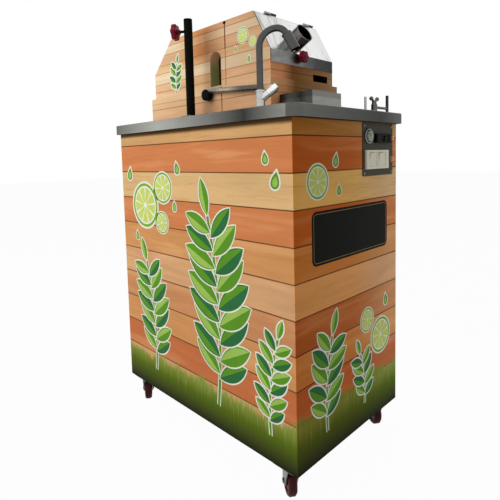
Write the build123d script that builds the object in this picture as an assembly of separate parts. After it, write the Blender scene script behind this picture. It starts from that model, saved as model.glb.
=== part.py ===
from build123d import *
import math
import os

# Sugarcane juicer. Millimetres, +Z up, origin on the floor under the middle of the worktop.
# +X is the operator's end, -Y is the wide front. Heights named "above" count from the worktop's top.

# Shared clearances, and how far a cutter runs past the face it cuts
running_clearance = 0.05
press_clearance = 0.02
swivel_gap = 0.3
panel_gap = 0.5
overcut = 1

# Sheet metal and angle iron
sheet = 1.5
angle_size = 25
angle_wall = 3

# Worktop
worktop_length = 800
worktop_depth = 506
worktop_skirt = 31
worktop_corner = 34
worktop_tight_corner = 6
worktop_edge_round = 4
overhang_x = 15
overhang_y = 9.5

# Cabinet
caster_height = 95
panel_height = 857
back_lip = 6
mid_rail_top = 580
near_rail_inset = 15
far_rail_inset = 10

# Casters
caster_inset_x = 50
caster_inset_y = 34
caster_plate_size = 64
caster_plate_thickness = 3
caster_race_radius = 19
caster_race_height = 6
caster_trail = 14
caster_turn = -35
caster_pin_radius = 5
wheel_diameter = 75
wheel_width = 24
wheel_hub_radius = 12
wheel_tread_depth = 12
wheel_side_recess = 4
wheel_tread_set_in = 1
wheel_tread_chamfer = 4
axle_radius = 5
fork_wall = 3
fork_side_gap = 1.5

# Service door
door_margin = 3
hinge_barrel_radius = 4
hinge_pin_radius = 2.5
hinge_half_length = 30
hinge_heights = (260, 820)
latch_height = 560
latch_inset = 40
latch_knob_radius = 13
latch_shaft_radius = 5
latch_cam_length = 32
latch_cam_width = 14
latch_cam_thickness = 4
latch_cam_gap = 3
latch_grip_width = 6
latch_grip_length = 24
latch_grip_depth = 3
door_rib_inset = 50
door_rib_depth = 14

# Control plate on the operator's end; its devices are placed across and up from its near lower corner
plate_thickness = 2
plate_width = 166
plate_height = 147
plate_back_inset = 25.5
plate_under_skirt = 2
cutout_margin = 8
button_across = 30
button_up = 110
button_radius = 15
button_collar = 22
button_travel = 3
button_stand = 3
button_round = 2
breaker_across = (59, 146)
breaker_up = (92, 117)
breaker_thickness = 8
breaker_round = 1
toggle_width = 10
toggle_hub_radius = 3.5
toggle_reach = 8
toggle_blade = 3
toggle_tilt = 25
switch_across = (10, 133)
switch_up = (19, 72)
switch_thickness = 6
switch_round = 1.5
rocker_width = 25
rocker_height = 37
rocker_stand = 2
rocker_dish = 1.5
rocker_back_gap = 1
rocker_tilt = 6
rocker_gap = 0.8
rocker_across = (40, 88)
lamp_across = 155
lamp_up = (107, 45)
lamp_radius = 7
lamp_reach = 9

# Casing on the worktop, all heights above the worktop
casing_depth = 280
casing_front = 229
casing_rear = -314
roof_front = 170
roof_rear = -212
roof_above = 273
hood_foot_above = 163
band_foot_above = 130
shoulder_above = 171
plinth_above = 88
plinth_step = 10
ledge_width = 16
front_panel_above = 160
arch_left = -16
arch_right = 34
arch_sill_above = 93
arch_top_above = 196
seam_x = 54
seam_width = 1.2
seam_depth = 0.8
slot_y = (44, 114)
slot_above = (96, 116)
exit_head_room = 8

# Hood, feed pipe and hood knob
hood_lift = 1.8
hood_top_gap = 3
knuckle_radius = 3.5
knuckle_pin_radius = 2
knuckle_length = 22
knuckle_leaf = 16
hood_hinge_places = (-96, 74)
feed_y = -26
feed_up_slope = 36
feed_outer_radius = 27
feed_wall = 2
feed_length = 46
hood_knob_y = -17
hood_knob_above = 155
hood_knob_radius = 17
hood_knob_thickness = 15
hood_knob_neck = 5
hood_stud_radius = 4
hood_stud_length = 12
knob_round = 2
knob_lobe_share = 0.3
knob_core_share = 0.72
stud_slot_play = 0.6

# Crusher: three rollers on axes along Y
roller_radius = 35
roller_length = 96
roller_near = -78
roller_end_gap = 2
groove_count = 8
groove_width = 3
groove_depth = 2
shaft_radius = 12.5
shaft_stub = 4
cheek_thickness = 12
bush_radius = 20
gear_module = 4
gear_teeth = 18
gear_width = 20
gear_gap = 4
gear_tip_share = 0.9
gear_root_share = 1.25
tooth_shares = (0.26, 0.22, 0.09)
spread_angle = 36
top_roller_x = 45
top_roller_above = 146
cheek_margin_rear = 53
cheek_margin_front = 53
cheek_top_above = 205
tie_bar_radius = 6
foot_width = 20
foot_thickness = 8

# Belt drive
flywheel_radius = 95
flywheel_width = 20
flywheel_gap = 6
flywheel_hole_share = 0.32
flywheel_holes = 5
belt_slot_margin = 2
pulley_radius = 35
belt_width = 13
belt_thickness = 8
belt_sink = 1
belt_clearance = 0.4
motor_base = 8
gearbox_half_length = 55
gearbox_half_height = 62
gearbox_near = -60
gearbox_far = 55
motor_radius = 65
motor_length = 200
motor_shaft_radius = 10
motor_shaft_depth = 35
motor_shell_share = 0.8
motor_end_share = 0.9
motor_box_half = 35
motor_box_height = 25
gearbox_round = 10

# Juice pan, tank, pump and pipes
pan_floor_above = 20
pan_rim_above = 45
pan_drain_x = 118
pan_drain_radius = 8
tank_drain_margin = 14
tank_end_gap = 43.5
tank_y = (-110, 50)
tank_height = 260
tank_clear_of_drain = 20
pump_radius = 32
pump_length = 105
pump_seat = 2
pump_boss_radius = 10
pump_head_margin = 4
pump_back_share = 0.35
pump_motor_share = 0.8
pump_foot_share = 0.7
juice_pipe_radius = 7
juice_pipe_bore = 5
suction_above_rail = 30

# Bagasse chute
chute_start_gap = 4
chute_start_above = 92
chute_end_above = 24
chute_lip = 21
chute_wall = 30

# Spout and tap
tap_inset_x = 137
tap_inset_y = 43.5
tap_flange_radius = 19
tap_flange = 5
tap_pillar_radius = 11
tap_pillar_above = 45
tap_shank_radius = 9
tap_shank_length = 45
tap_nut_radius = 15
tap_nut_height = 6
tap_side_angle = 45
tap_side_tilt = 38
tap_side_above = 24
tap_boss_radius = 11
tap_boss_reach = 24
tap_spindle_radius = 4
tap_spindle_length = 12
tap_handle_radius = 11.5
tap_handle_length = 28
tap_handle_step = 2
tap_handle_nose = 6
spout_radius = 8.4
spout_bore = 6.9
spout_socket = 25
spout_bend_above = 152
spout_bend_radius = 44
spout_dip_radius = 26
spout_dip = 60
spout_heading = 38
nozzle_radius = 12.5
nozzle_length = 46
nozzle_wall = 2
nozzle_round = 1.5

# Tray in front of the casing
tray_x = (243, 350)
tray_y = (-121, 5)
tray_above = 43
tray_ledge = 5
grille_below_rim = 6
grille_bar = 5
grille_slots = 9

# Post with clamp knob
post_x = -32
post_inset_y = 38.5
post_radius = 12.5
post_wall = 2
post_above = 283
post_flange_radius = 31
post_flange = 5
post_knob_above = 250
post_screw_radius = 4
post_screw_reach = 20.5
post_knob_heading = 212
post_knob_radius = 24
post_knob_thickness = 15

# Hand lever on the plinth
lever_x = -6
lever_above = 67
lever_boss_radius = 15
lever_boss_thickness = 3
lever_stud_radius = 7
lever_hub_radius = 16
lever_hub_width = 16
lever_bar_radius = 7.8
lever_bar_start = 6
lever_bar_rise = 11.5
lever_bar_length = 205
lever_stud_end = 2
lever_drop = 4.3

# Rinse tap at the back of the operator's end
rinse_inset_x = 25
rinse_outlet_inset_y = 7.5
rinse_hub_to_outlet = 76
rinse_rod_to_hub = 48
rinse_base = 3
rinse_base_half_width = 8
rinse_body_radius = 9
rinse_body_above = 24
rinse_pipe_radius = 4
rinse_outlet_radius = 4.5
rinse_shank_radius = 4
rinse_shank_length = 20
rinse_pipe_above = 20
rinse_outlet_above = 55
rinse_rod_radius = 3.5
rinse_rod_above = 42
rinse_spindle_radius = 3
rinse_spindle_length = 9
rinse_handle_radius = 7
rinse_handle_height = 9
rinse_lobe_radius = 6
rinse_lobe_spread = 16
rinse_lobe_above = 40
rinse_neck_radius = 3.6
rinse_neck_drop = 3
rinse_cap = 0.2

# Cable gland on the rear end
gland_y = 120
gland_z = 190
gland_radius = 11
gland_reach = 12
gland_thread_radius = 7.7
gland_cap_radius = 8.2
gland_bore_radius = 4.4
gland_nut = 5

# Screws
screw_head_radius = 4
screw_head_height = 2
screw_inset = 8

# Worked out from the sizes above
cabinet_length = worktop_length - 2 * overhang_x
cabinet_depth = worktop_depth - 2 * overhang_y
half_length = cabinet_length / 2
half_depth = cabinet_depth / 2
frame_x = half_length - sheet
frame_y = half_depth - sheet
skirt_foot = caster_height + panel_height
worktop_top = skirt_foot + worktop_skirt
frame_top = worktop_top - sheet
plate_y = (half_depth - plate_back_inset - plate_width, half_depth - plate_back_inset)
plate_z = (skirt_foot - plate_under_skirt - plate_height, skirt_foot - plate_under_skirt)
button_y = plate_y[0] + button_across
button_z = plate_z[0] + button_up
breaker_y = [plate_y[0] + across for across in breaker_across]
breaker_z = [plate_z[0] + up for up in breaker_up]
switch_y = [plate_y[0] + across for across in switch_across]
switch_z = [plate_z[0] + up for up in switch_up]
rocker_places = [plate_y[0] + across for across in rocker_across]
lamp_y = plate_y[0] + lamp_across
lamp_heights = [plate_z[0] + up for up in lamp_up]
tank_x = (pan_drain_x - tank_drain_margin, frame_x - tank_end_gap)
tap_x = half_length - tap_inset_x
tap_y = tap_inset_y - half_depth
post_y = post_inset_y - half_depth
rinse_x = half_length - rinse_inset_x
rinse_outlet_y = half_depth - rinse_outlet_inset_y
rinse_hub_y = rinse_outlet_y - rinse_hub_to_outlet
rinse_rod_y = rinse_hub_y - rinse_rod_to_hub
casing_side = casing_depth / 2
plinth_side = casing_side + plinth_step
gear_pitch_radius = gear_module * gear_teeth / 2
roller_centres = 2 * gear_pitch_radius
spread = math.radians(spread_angle)
top_axis = (top_roller_x, worktop_top + top_roller_above)
lower_z = top_axis[1] - roller_centres * math.cos(spread)
feed_axis = (top_roller_x + roller_centres * math.sin(spread), lower_z)
exit_axis = (top_roller_x - roller_centres * math.sin(spread), lower_z)
roller_far = roller_near + roller_length
cheek_near_in = roller_near - roller_end_gap
cheek_near_out = cheek_near_in - cheek_thickness
cheek_far_in = roller_far + roller_end_gap
cheek_far_out = cheek_far_in + cheek_thickness
gear_start = cheek_far_out + gear_gap
gear_end = gear_start + gear_width
flywheel_start = gear_end + flywheel_gap
flywheel_end = flywheel_start + flywheel_width
belt_y = (flywheel_start + flywheel_end) / 2
drive_z = mid_rail_top + motor_base + gearbox_half_height
wheel_radius = wheel_diameter / 2
slope_run = casing_front - roof_front
slope_fall = hood_foot_above - roof_above
slope_length = math.hypot(slope_run, slope_fall)
slope_along = (slope_run / slope_length, slope_fall / slope_length)
slope_out = (-slope_along[1], slope_along[0])


def block(x_pair, y_pair, z_pair):
    low = [min(pair) for pair in (x_pair, y_pair, z_pair)]
    high = [max(pair) for pair in (x_pair, y_pair, z_pair)]
    size = [high[i] - low[i] for i in range(3)]
    middle = [(high[i] + low[i]) / 2 for i in range(3)]
    return Pos(*middle) * Box(*size)


def rod(radius, start, end):
    along = Vector(*end) - Vector(*start)
    return extrude(Plane(origin=start, z_dir=along) * Circle(radius), amount=along.length)


def tube(radius, bore, start, end):
    return rod(radius, start, end) - rod(bore, start, end)


def prism(points, y_pair):
    # Outline in X and Z, run along Y
    plane = Plane(origin=(0, max(y_pair), 0), x_dir=(1, 0, 0), z_dir=(0, -1, 0))
    outline = plane * Polygon(*points, align=None)
    return extrude(outline, amount=max(y_pair) - min(y_pair), dir=(0, -1, 0))


def offset_points(points, distance):
    # Mitred offset to the left of the direction of travel
    result = []
    for i, point in enumerate(points):
        normals = []
        for j in (i - 1, i):
            if 0 <= j < len(points) - 1:
                run = points[j + 1][0] - points[j][0]
                rise = points[j + 1][1] - points[j][1]
                span = math.hypot(run, rise)
                normals.append((-rise / span, run / span))
        if len(normals) == 1:
            shift = normals[0]
        else:
            mix = (normals[0][0] + normals[1][0], normals[0][1] + normals[1][1])
            share = mix[0] * normals[0][0] + mix[1] * normals[0][1]
            shift = (mix[0] / share, mix[1] / share)
        result.append((point[0] + shift[0] * distance, point[1] + shift[1] * distance))
    return result


def bent_sheet(points, thickness, y_pair):
    # Folded sheet along an outline in X and Z, its thickness to the left of travel
    return prism(points + offset_points(points, thickness)[::-1], y_pair)


def fused(pieces):
    first = pieces[0]
    return first.fuse(*pieces[1:]) if len(pieces) > 1 else first


def star(radius, thickness, start, along):
    # Six-lobed hand knob along an axis
    plane = Plane(origin=start, z_dir=along)
    lobe = radius * knob_lobe_share
    ring = radius - lobe
    outline = Circle(radius * knob_core_share)
    for k in range(6):
        angle = math.radians(60 * k)
        outline += Pos(ring * math.cos(angle), ring * math.sin(angle)) * Circle(lobe)
    return extrude(plane * outline, amount=thickness)


def write(name, *solids):
    shape = solids[0] if len(solids) == 1 else Compound(children=list(solids))
    export_step(shape, os.path.join("parts", name + ".step"))


def angle_x(y, side, z, up):
    # Angle iron along X: legs at a side wall (y, towards side) and at a level (z, towards up)
    wall_leg = block((-frame_x, frame_x), (y, y + side * angle_wall), (z, z + up * angle_size))
    level_leg = block((-frame_x, frame_x), (y, y + side * angle_size), (z, z + up * angle_wall))
    return [wall_leg, level_leg]


def angle_y(x, side, z, up):
    wall_leg = block((x, x + side * angle_wall), (-frame_y, frame_y), (z, z + up * angle_size))
    level_leg = block((x, x + side * angle_size), (-frame_y, frame_y), (z, z + up * angle_wall))
    return [wall_leg, level_leg]


def base_frame():
    bars = []
    for sx in (-1, 1):
        for sy in (-1, 1):
            x = sx * frame_x
            y = sy * frame_y
            tall = (caster_height, frame_top)
            bars.append(block((x, x - sx * angle_size), (y, y - sy * angle_wall), tall))
            bars.append(block((x, x - sx * angle_wall), (y, y - sy * angle_size), tall))
    for side in (-1, 1):
        bars += angle_x(side * frame_y, -side, caster_height, 1)
        bars += angle_x(side * frame_y, -side, frame_top, -1)
        bars += angle_y(side * frame_x, -side, caster_height, 1)
        bars += angle_y(side * frame_x, -side, frame_top, -1)
        bars += angle_y(side * frame_x, -side, mid_rail_top, -1)
    for y in rail_places():
        bars += angle_x(y, 1, mid_rail_top, -1)
    inside_x = frame_x - angle_wall
    inside_y = frame_y - angle_wall
    floor_z = caster_height + angle_wall
    bars.append(block((-inside_x, inside_x), (-inside_y, inside_y), (floor_z, floor_z + sheet)))
    return fused(bars)


def rail_places():
    # Rails under the pump, and under the near and far sides of motor and tank
    return (tap_y - angle_size / 2, gearbox_near - near_rail_inset, gearbox_far - far_rail_inset)


def panel_z():
    # Panels stop below the rounded inner edge of the worktop
    return (caster_height, frame_top - worktop_edge_round)


def front_panel():
    return block((-half_length, half_length), (-half_depth, -frame_y), panel_z())


def end_panel(side):
    flat = block((side * frame_x, side * half_length), (-frame_y, half_depth), panel_z())
    lip = block((side * half_length, side * (half_length - back_lip)), (frame_y, half_depth), panel_z())
    return flat + lip


def operator_end_panel():
    window_y = (plate_y[0] + cutout_margin, plate_y[1] - cutout_margin)
    window_z = (plate_z[0] + cutout_margin, plate_z[1] - cutout_margin)
    return end_panel(1) - block((frame_x - overcut, half_length + overcut), window_y, window_z)


def hinge_axis():
    return (-half_length + back_lip + panel_gap, half_depth + hinge_barrel_radius + swivel_gap)


def hinge_half(z, up, leaf_x):
    # One half of a lift-off hinge: barrel and the leaf that ties it to its sheet
    x, y = hinge_axis()
    barrel = rod(hinge_barrel_radius, (x, y, z), (x, y, z + up * hinge_half_length))
    leaf = block((x, leaf_x), (half_depth, y), (z, z + up * hinge_half_length))
    return barrel + leaf


def rear_end_panel():
    x, y = hinge_axis()
    shape = end_panel(-1)
    for z in hinge_heights:
        shape += hinge_half(z - panel_gap, -1, -half_length + sheet)
        shape += rod(hinge_pin_radius, (x, y, z - hinge_half_length), (x, y, z + hinge_half_length))
    outside = (-half_length - overcut, gland_y, gland_z)
    return shape - rod(gland_thread_radius, outside, (-frame_x + overcut, gland_y, gland_z))


def door_edges():
    x, y = hinge_axis()
    return (x + panel_gap, half_length - back_lip - panel_gap)


def service_door():
    x, y = hinge_axis()
    left, right = door_edges()
    door_z = (caster_height + door_margin, skirt_foot - door_margin)
    shape = block((left, right), (frame_y, half_depth), door_z)
    rib_z = (door_z[0] + door_rib_inset, door_z[1] - door_rib_inset)
    for edge, sign in ((left, 1), (right, -1)):
        rib_x = edge + sign * door_rib_inset
        shape += block((rib_x, rib_x + sign * sheet), (frame_y - door_rib_depth, frame_y), rib_z)
    for z in hinge_heights:
        shape += hinge_half(z, 1, left + angle_size)
        bore = hinge_pin_radius + running_clearance
        shape -= rod(bore, (x, y, z - overcut), (x, y, z + hinge_half_length + overcut))
    hole = latch_shaft_radius + running_clearance
    latch_x = right - latch_inset
    inside = (latch_x, frame_y - overcut, latch_height)
    return shape - rod(hole, inside, (latch_x, half_depth + overcut, latch_height))


def door_latch():
    # Shown turned to open: the cam hangs down, clear of the upright that it catches
    x = door_edges()[1] - latch_inset
    knob_start = half_depth + swivel_gap
    knob_end = half_depth + overhang_y - overcut
    cam_start = frame_y - angle_wall - latch_cam_gap
    cam_y = (cam_start - latch_cam_thickness, cam_start)
    cam_half = latch_cam_width / 2
    grip_half = latch_grip_width / 2
    grip_z = (latch_height - latch_grip_length / 2, latch_height + latch_grip_length / 2)
    shape = rod(latch_knob_radius, (x, knob_start, latch_height), (x, knob_end, latch_height))
    grip = block((x - grip_half, x + grip_half), (knob_start, knob_end), grip_z)
    shape += rod(latch_shaft_radius, (x, cam_y[0], latch_height), (x, knob_start, latch_height))
    cam_z = (latch_height - latch_cam_length, latch_height + cam_half)
    shape += block((x - cam_half, x + cam_half), cam_y, cam_z)
    groove_foot = (x, knob_end - latch_grip_depth, latch_height)
    groove = rod(latch_knob_radius, groove_foot, (x, knob_end, latch_height))
    return shape - (groove - grip)


def belt_slot():
    reach = flywheel_radius - belt_slot_margin
    slot_depth = (flywheel_start - belt_slot_margin, flywheel_end + belt_slot_margin)
    return ((top_roller_x - reach, top_roller_x + reach), slot_depth)


def worktop_outline(inset):
    # The corner beside the tap is rounded wide, the others are folded tight
    shape = Rectangle(worktop_length - 2 * inset, worktop_depth - 2 * inset)
    wide = shape.vertices().group_by(Axis.X)[-1].sort_by(Axis.Y)[0]
    tight = [corner for corner in shape.vertices() if corner != wide]
    shape = fillet(tight, worktop_tight_corner - inset)
    wide = shape.vertices().sort_by_distance(wide)[0]
    return fillet(wide, worktop_corner - inset)


def worktop():
    shell = extrude(Pos(0, 0, skirt_foot) * worktop_outline(0), amount=worktop_skirt)
    shell = fillet(shell.faces().sort_by(Axis.Z)[-1].edges(), worktop_edge_round)
    hollow = extrude(Pos(0, 0, skirt_foot) * worktop_outline(sheet), amount=worktop_skirt - sheet)
    hollow = fillet(hollow.faces().sort_by(Axis.Z)[-1].edges(), worktop_edge_round - sheet)
    shell -= hollow
    through = (frame_top - worktop_edge_round, worktop_top + overcut)
    slot_x, slot_depth = belt_slot()
    shell -= block(slot_x, slot_depth, through)
    for x, y, radius in (
        (tap_x, tap_y, tap_shank_radius + running_clearance),
        (pan_drain_x, drain_y(), pan_drain_radius + panel_gap),
        (rinse_x - rinse_base_half_width, rinse_hub_y, rinse_shank_radius + running_clearance),
    ):
        shell -= rod(radius, (x, y, through[0]), (x, y, through[1]))
    return shell


def drain_y():
    return (roller_near + roller_far) / 2


def caster_axes():
    x = half_length - caster_inset_x
    y = half_depth - caster_inset_y
    return {"near_right": (x, -y), "near_left": (-x, -y), "far_right": (x, y), "far_left": (-x, y)}


def caster_plate(x, y):
    half = caster_plate_size / 2
    under = caster_height - caster_plate_thickness
    race_foot = under - caster_race_height
    shape = block((x - half, x + half), (y - half, y + half), (under, caster_height))
    shape += rod(caster_race_radius, (x, y, race_foot), (x, y, under))
    bore = caster_pin_radius + running_clearance
    return shape - rod(bore, (x, y, race_foot - overcut), (x, y, caster_height + overcut))


def swivelled(shape, x, y):
    # Turns a fork or wheel about its kingpin to where the casters were left
    return Pos(x, y, 0) * Rot(0, 0, caster_turn) * Pos(-x, -y, 0) * shape


def caster_fork(x, y):
    crown_top = caster_height - caster_plate_thickness - caster_race_height - swivel_gap
    crown_foot = crown_top - fork_wall
    inner = wheel_width / 2 + fork_side_gap
    outer = inner + fork_wall
    axle_x = x - caster_trail
    reach = caster_race_radius + fork_wall
    shape = block((x - reach, x + reach), (y - outer, y + outer), (crown_foot, crown_top))
    cheek = [
        (x - reach, crown_top),
        (x + reach, crown_top),
        (x + reach, crown_foot - fork_wall),
        (axle_x + wheel_hub_radius, wheel_radius - wheel_hub_radius / 2),
        (axle_x, wheel_radius - wheel_hub_radius),
        (axle_x - wheel_hub_radius, wheel_radius - wheel_hub_radius / 2),
        (x - reach, crown_foot - fork_wall),
    ]
    for sign in (-1, 1):
        shape += prism(cheek, (y + sign * inner, y + sign * outer))
    axle_half = outer + fork_wall
    axle_ends = [(axle_x, y + sign * axle_half, wheel_radius) for sign in (-1, 1)]
    shape += rod(axle_radius, *axle_ends)
    pin_top = caster_height - fork_wall / 2
    shape += rod(caster_pin_radius, (x, y, crown_foot), (x, y, pin_top))
    return swivelled(shape, x, y)


def caster_wheel(x, y):
    axle_x = x - caster_trail
    half = wheel_width / 2
    rim = wheel_radius - wheel_tread_depth
    bore = axle_radius + running_clearance
    dish = half - wheel_side_recess
    side = half - wheel_tread_set_in
    shoulder = side - wheel_tread_chamfer
    crown = wheel_radius - wheel_tread_chamfer
    half_profile = [
        (bore, half),
        (wheel_hub_radius, half),
        (wheel_hub_radius, dish),
        (rim, dish),
        (rim, side),
        (crown, side),
        (wheel_radius, shoulder),
    ]
    other_half = [(radius, -y_place) for radius, y_place in reversed(half_profile)]
    profile = Polyline(*half_profile, *other_half, close=True)
    turned = revolve(make_face(Plane.XY * profile), Axis.Y)
    return swivelled(Pos(axle_x, y, wheel_radius) * turned, x, y)


def control_plate():
    face = half_length
    shape = block((face, face + plate_thickness), plate_y, plate_z)
    corners = shape.edges().filter_by(Axis.X)
    shape = fillet(corners, screw_head_radius)
    collar_end = face + 2 * plate_thickness
    shape += rod(button_collar, (face, button_y, button_z), (collar_end, button_y, button_z))
    hole_ends = [(x, button_y, button_z) for x in (face - overcut, collar_end + overcut)]
    shape -= rod(button_radius + panel_gap, *hole_ends)
    rim = screw_head_radius
    for y_pair, z_pair in ((breaker_y, breaker_z), (switch_y, switch_z)):
        window_y = (y_pair[0] + rim, y_pair[1] - rim)
        window_z = (z_pair[0] + rim, z_pair[1] - rim)
        shape -= block((face - overcut, face + plate_thickness + overcut), window_y, window_z)
    return shape


def device_face():
    return half_length + plate_thickness


def push_button():
    start = frame_x
    cap = device_face() + plate_thickness + button_travel + button_stand
    shape = rod(button_radius, (start, button_y, button_z), (cap, button_y, button_z))
    return fillet(shape.faces().sort_by(Axis.X)[-1].edges(), button_round)


def toggle_place():
    middle_y = (breaker_y[0] + breaker_y[1]) / 2
    middle_z = (breaker_z[0] + breaker_z[1]) / 2
    return (device_face() + breaker_thickness / 2, middle_y, middle_z)


def breaker_body():
    face = device_face()
    x, y, z = toggle_place()
    shape = block((face, face + breaker_thickness), breaker_y, breaker_z)
    shape = fillet(shape.faces().sort_by(Axis.X)[-1].edges(), breaker_round)
    room_y = toggle_width / 2 + panel_gap
    room_z = toggle_hub_radius + toggle_reach / 2
    through = (face - overcut, face + breaker_thickness + overcut)
    shape -= block(through, (y - room_y, y + room_y), (z - room_z, z + room_z))
    trunnion = toggle_hub_radius / 2 + running_clearance
    return shape - rod(trunnion, (x, y - toggle_width, z), (x, y + toggle_width, z))


def breaker_toggle():
    x, y, z = toggle_place()
    half = toggle_width / 2
    hub = rod(toggle_hub_radius, (0, -half, 0), (0, half, 0))
    pin_half = toggle_width - overcut
    hub += rod(toggle_hub_radius / 2, (0, -pin_half, 0), (0, pin_half, 0))
    hub += block((0, toggle_reach), (-half, half), (-toggle_blade / 2, toggle_blade / 2))
    return Pos(x, y, z) * Rot(0, toggle_tilt, 0) * hub


def rocker_axis():
    return (device_face() + switch_thickness / 2, (switch_z[0] + switch_z[1]) / 2)


def switch_plate():
    face = device_face()
    x, z = rocker_axis()
    shape = block((face, face + switch_thickness), switch_y, switch_z)
    shape = fillet(shape.faces().sort_by(Axis.X)[-1].edges(), switch_round)
    through = (face - overcut, face + switch_thickness + overcut)
    half_y = rocker_width / 2 + rocker_gap
    half_z = rocker_height / 2 + rocker_gap
    for y in rocker_places:
        shape -= block(through, (y - half_y, y + half_y), (z - half_z, z + half_z))
    return shape


def rocker(y):
    x, z = rocker_axis()
    half_y = rocker_width / 2
    half_z = rocker_height / 2
    back = -switch_thickness / 2 + rocker_back_gap
    crest = switch_thickness / 2 + rocker_stand
    dish = crest - rocker_dish
    outline = [(back, -half_z), (crest, -half_z), (dish, 0), (crest, half_z), (back, half_z)]
    key = prism(outline, (-half_y, half_y))
    return Pos(x, y, z) * Rot(0, rocker_tilt, 0) * key


def lamp(z):
    face = device_face()
    shape = rod(lamp_radius, (face, lamp_y, z), (face + lamp_reach, lamp_y, z))
    return fillet(shape.faces().sort_by(Axis.X)[-1].edges(), lamp_radius * 0.7)


def above(height):
    return worktop_top + height


def casing_plinth():
    outer_x = (casing_rear - plinth_step, casing_front + plinth_step)
    inner_x = (outer_x[0] + sheet, outer_x[1] - sheet)
    side = plinth_side
    shape = block(outer_x, (-side, side), (above(0), above(plinth_above)))
    hollow_z = (above(-overcut), above(plinth_above - sheet))
    shape -= block(inner_x, (-side + sheet, side - sheet), hollow_z)
    hole_x = (outer_x[0] + ledge_width, outer_x[1] - ledge_width)
    hole_side = side - ledge_width
    shape -= block(hole_x, (-hole_side, hole_side), (above(0), above(plinth_above + overcut)))
    exit_foot = chute_level(outer_x[0]) - panel_gap
    exit_head = chute_level(outer_x[0]) + chute_wall + exit_head_room
    exit_y = (cheek_near_in - panel_gap, cheek_far_in + panel_gap)
    shape -= block((outer_x[0] - overcut, inner_x[0] + overcut), exit_y, (exit_foot, exit_head))
    boss_end = -side - lever_boss_thickness
    stud_end = boss_end - lever_hub_width - 2 * swivel_gap - lever_stud_end
    z = above(lever_above)
    shape += rod(lever_boss_radius, (lever_x, -side + sheet, z), (lever_x, boss_end, z))
    return shape + rod(lever_stud_radius, (lever_x, boss_end, z), (lever_x, stud_end, z))


def hand_lever():
    z = above(lever_above)
    start = -plinth_side - lever_boss_thickness - swivel_gap
    end = start - lever_hub_width
    middle = (start + end) / 2
    tilt = math.radians(lever_drop)
    root = (lever_x + lever_bar_start, middle, z + lever_bar_rise)
    tip_x = root[0] + lever_bar_length * math.cos(tilt)
    tip = (tip_x, middle, root[2] - lever_bar_length * math.sin(tilt))
    shape = rod(lever_hub_radius, (lever_x, start, z), (lever_x, end, z))
    shape += rod(lever_bar_radius, root, tip)
    for bar_end in (root, tip):
        shape += Pos(*bar_end) * Sphere(lever_bar_radius)
    bore = lever_stud_radius + running_clearance
    return shape - rod(bore, (lever_x, start + overcut, z), (lever_x, end - overcut, z))


def casing_profile():
    return [
        (casing_front, above(plinth_above)),
        (casing_front, above(hood_foot_above)),
        (roof_front, above(roof_above)),
        (roof_rear, above(roof_above)),
        (casing_rear, above(shoulder_above)),
        (casing_rear, above(plinth_above)),
    ]


def far_side_panel():
    return prism(casing_profile(), (casing_side - sheet, casing_side))


def near_side_panel():
    outside = (-casing_side - overcut, -casing_side + sheet + overcut)
    shape = prism(casing_profile(), (-casing_side, -casing_side + sheet))
    radius = (arch_right - arch_left) / 2
    spring = above(arch_top_above) - radius
    middle = (arch_left + arch_right) / 2
    shape -= block((arch_left, arch_right), outside, (above(arch_sill_above), spring))
    shape -= rod(radius, (middle, outside[0], spring), (middle, outside[1], spring))
    groove_x = (seam_x - seam_width / 2, seam_x + seam_width / 2)
    groove_y = (-casing_side - overcut, -casing_side + seam_depth)
    return shape - block(groove_x, groove_y, (above(plinth_above), above(roof_above) + overcut))


def hood_axis():
    return (roof_front + hood_lift + swivel_gap, above(roof_above) + knuckle_radius)


def casing_cover():
    # Roof, rear slope and rear wall in one folded sheet, with the fixed halves of the hood's hinges
    inside = casing_side - sheet
    path = [
        (roof_front - panel_gap, above(roof_above)),
        (roof_rear, above(roof_above)),
        (casing_rear, above(shoulder_above)),
        (casing_rear, above(plinth_above)),
    ]
    shape = bent_sheet(path, sheet, (-inside, inside))
    x, z = hood_axis()
    leaf_z = (above(roof_above), above(roof_above) + sheet)
    for y in hood_hinge_places:
        barrel = rod(knuckle_radius, (x, y, z), (x, y + knuckle_length, z))
        leaf = block((x - knuckle_leaf, x), (y, y + knuckle_length), leaf_z)
        pin_end = y + 2 * knuckle_length
        shape += barrel + leaf + rod(knuckle_pin_radius, (x, y, z), (x, pin_end, z))
    return shape


def casing_front_panel():
    inside = casing_side - sheet
    tall = (above(plinth_above), above(front_panel_above))
    shape = block((casing_front - sheet, casing_front), (-inside, inside), tall)
    through = (casing_front - sheet - overcut, casing_front + overcut)
    shape -= block(through, slot_y, (above(slot_above[0]), above(slot_above[1])))
    half = hood_stud_radius + stud_slot_play
    z = above(hood_knob_above)
    shape -= block(through, (hood_knob_y - half, hood_knob_y + half), (z, tall[1] + overcut))
    return shape - rod(half, (through[0], hood_knob_y, z), (through[1], hood_knob_y, z))


def feed_way(distance):
    # A point on the feed pipe's axis, counted outwards from the hood's slope
    foot = slope_length - feed_up_slope
    x = roof_front + hood_lift + slope_along[0] * foot + slope_out[0] * distance
    z = above(roof_above) + slope_along[1] * foot + slope_out[1] * distance
    return (x, feed_y, z)


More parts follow.
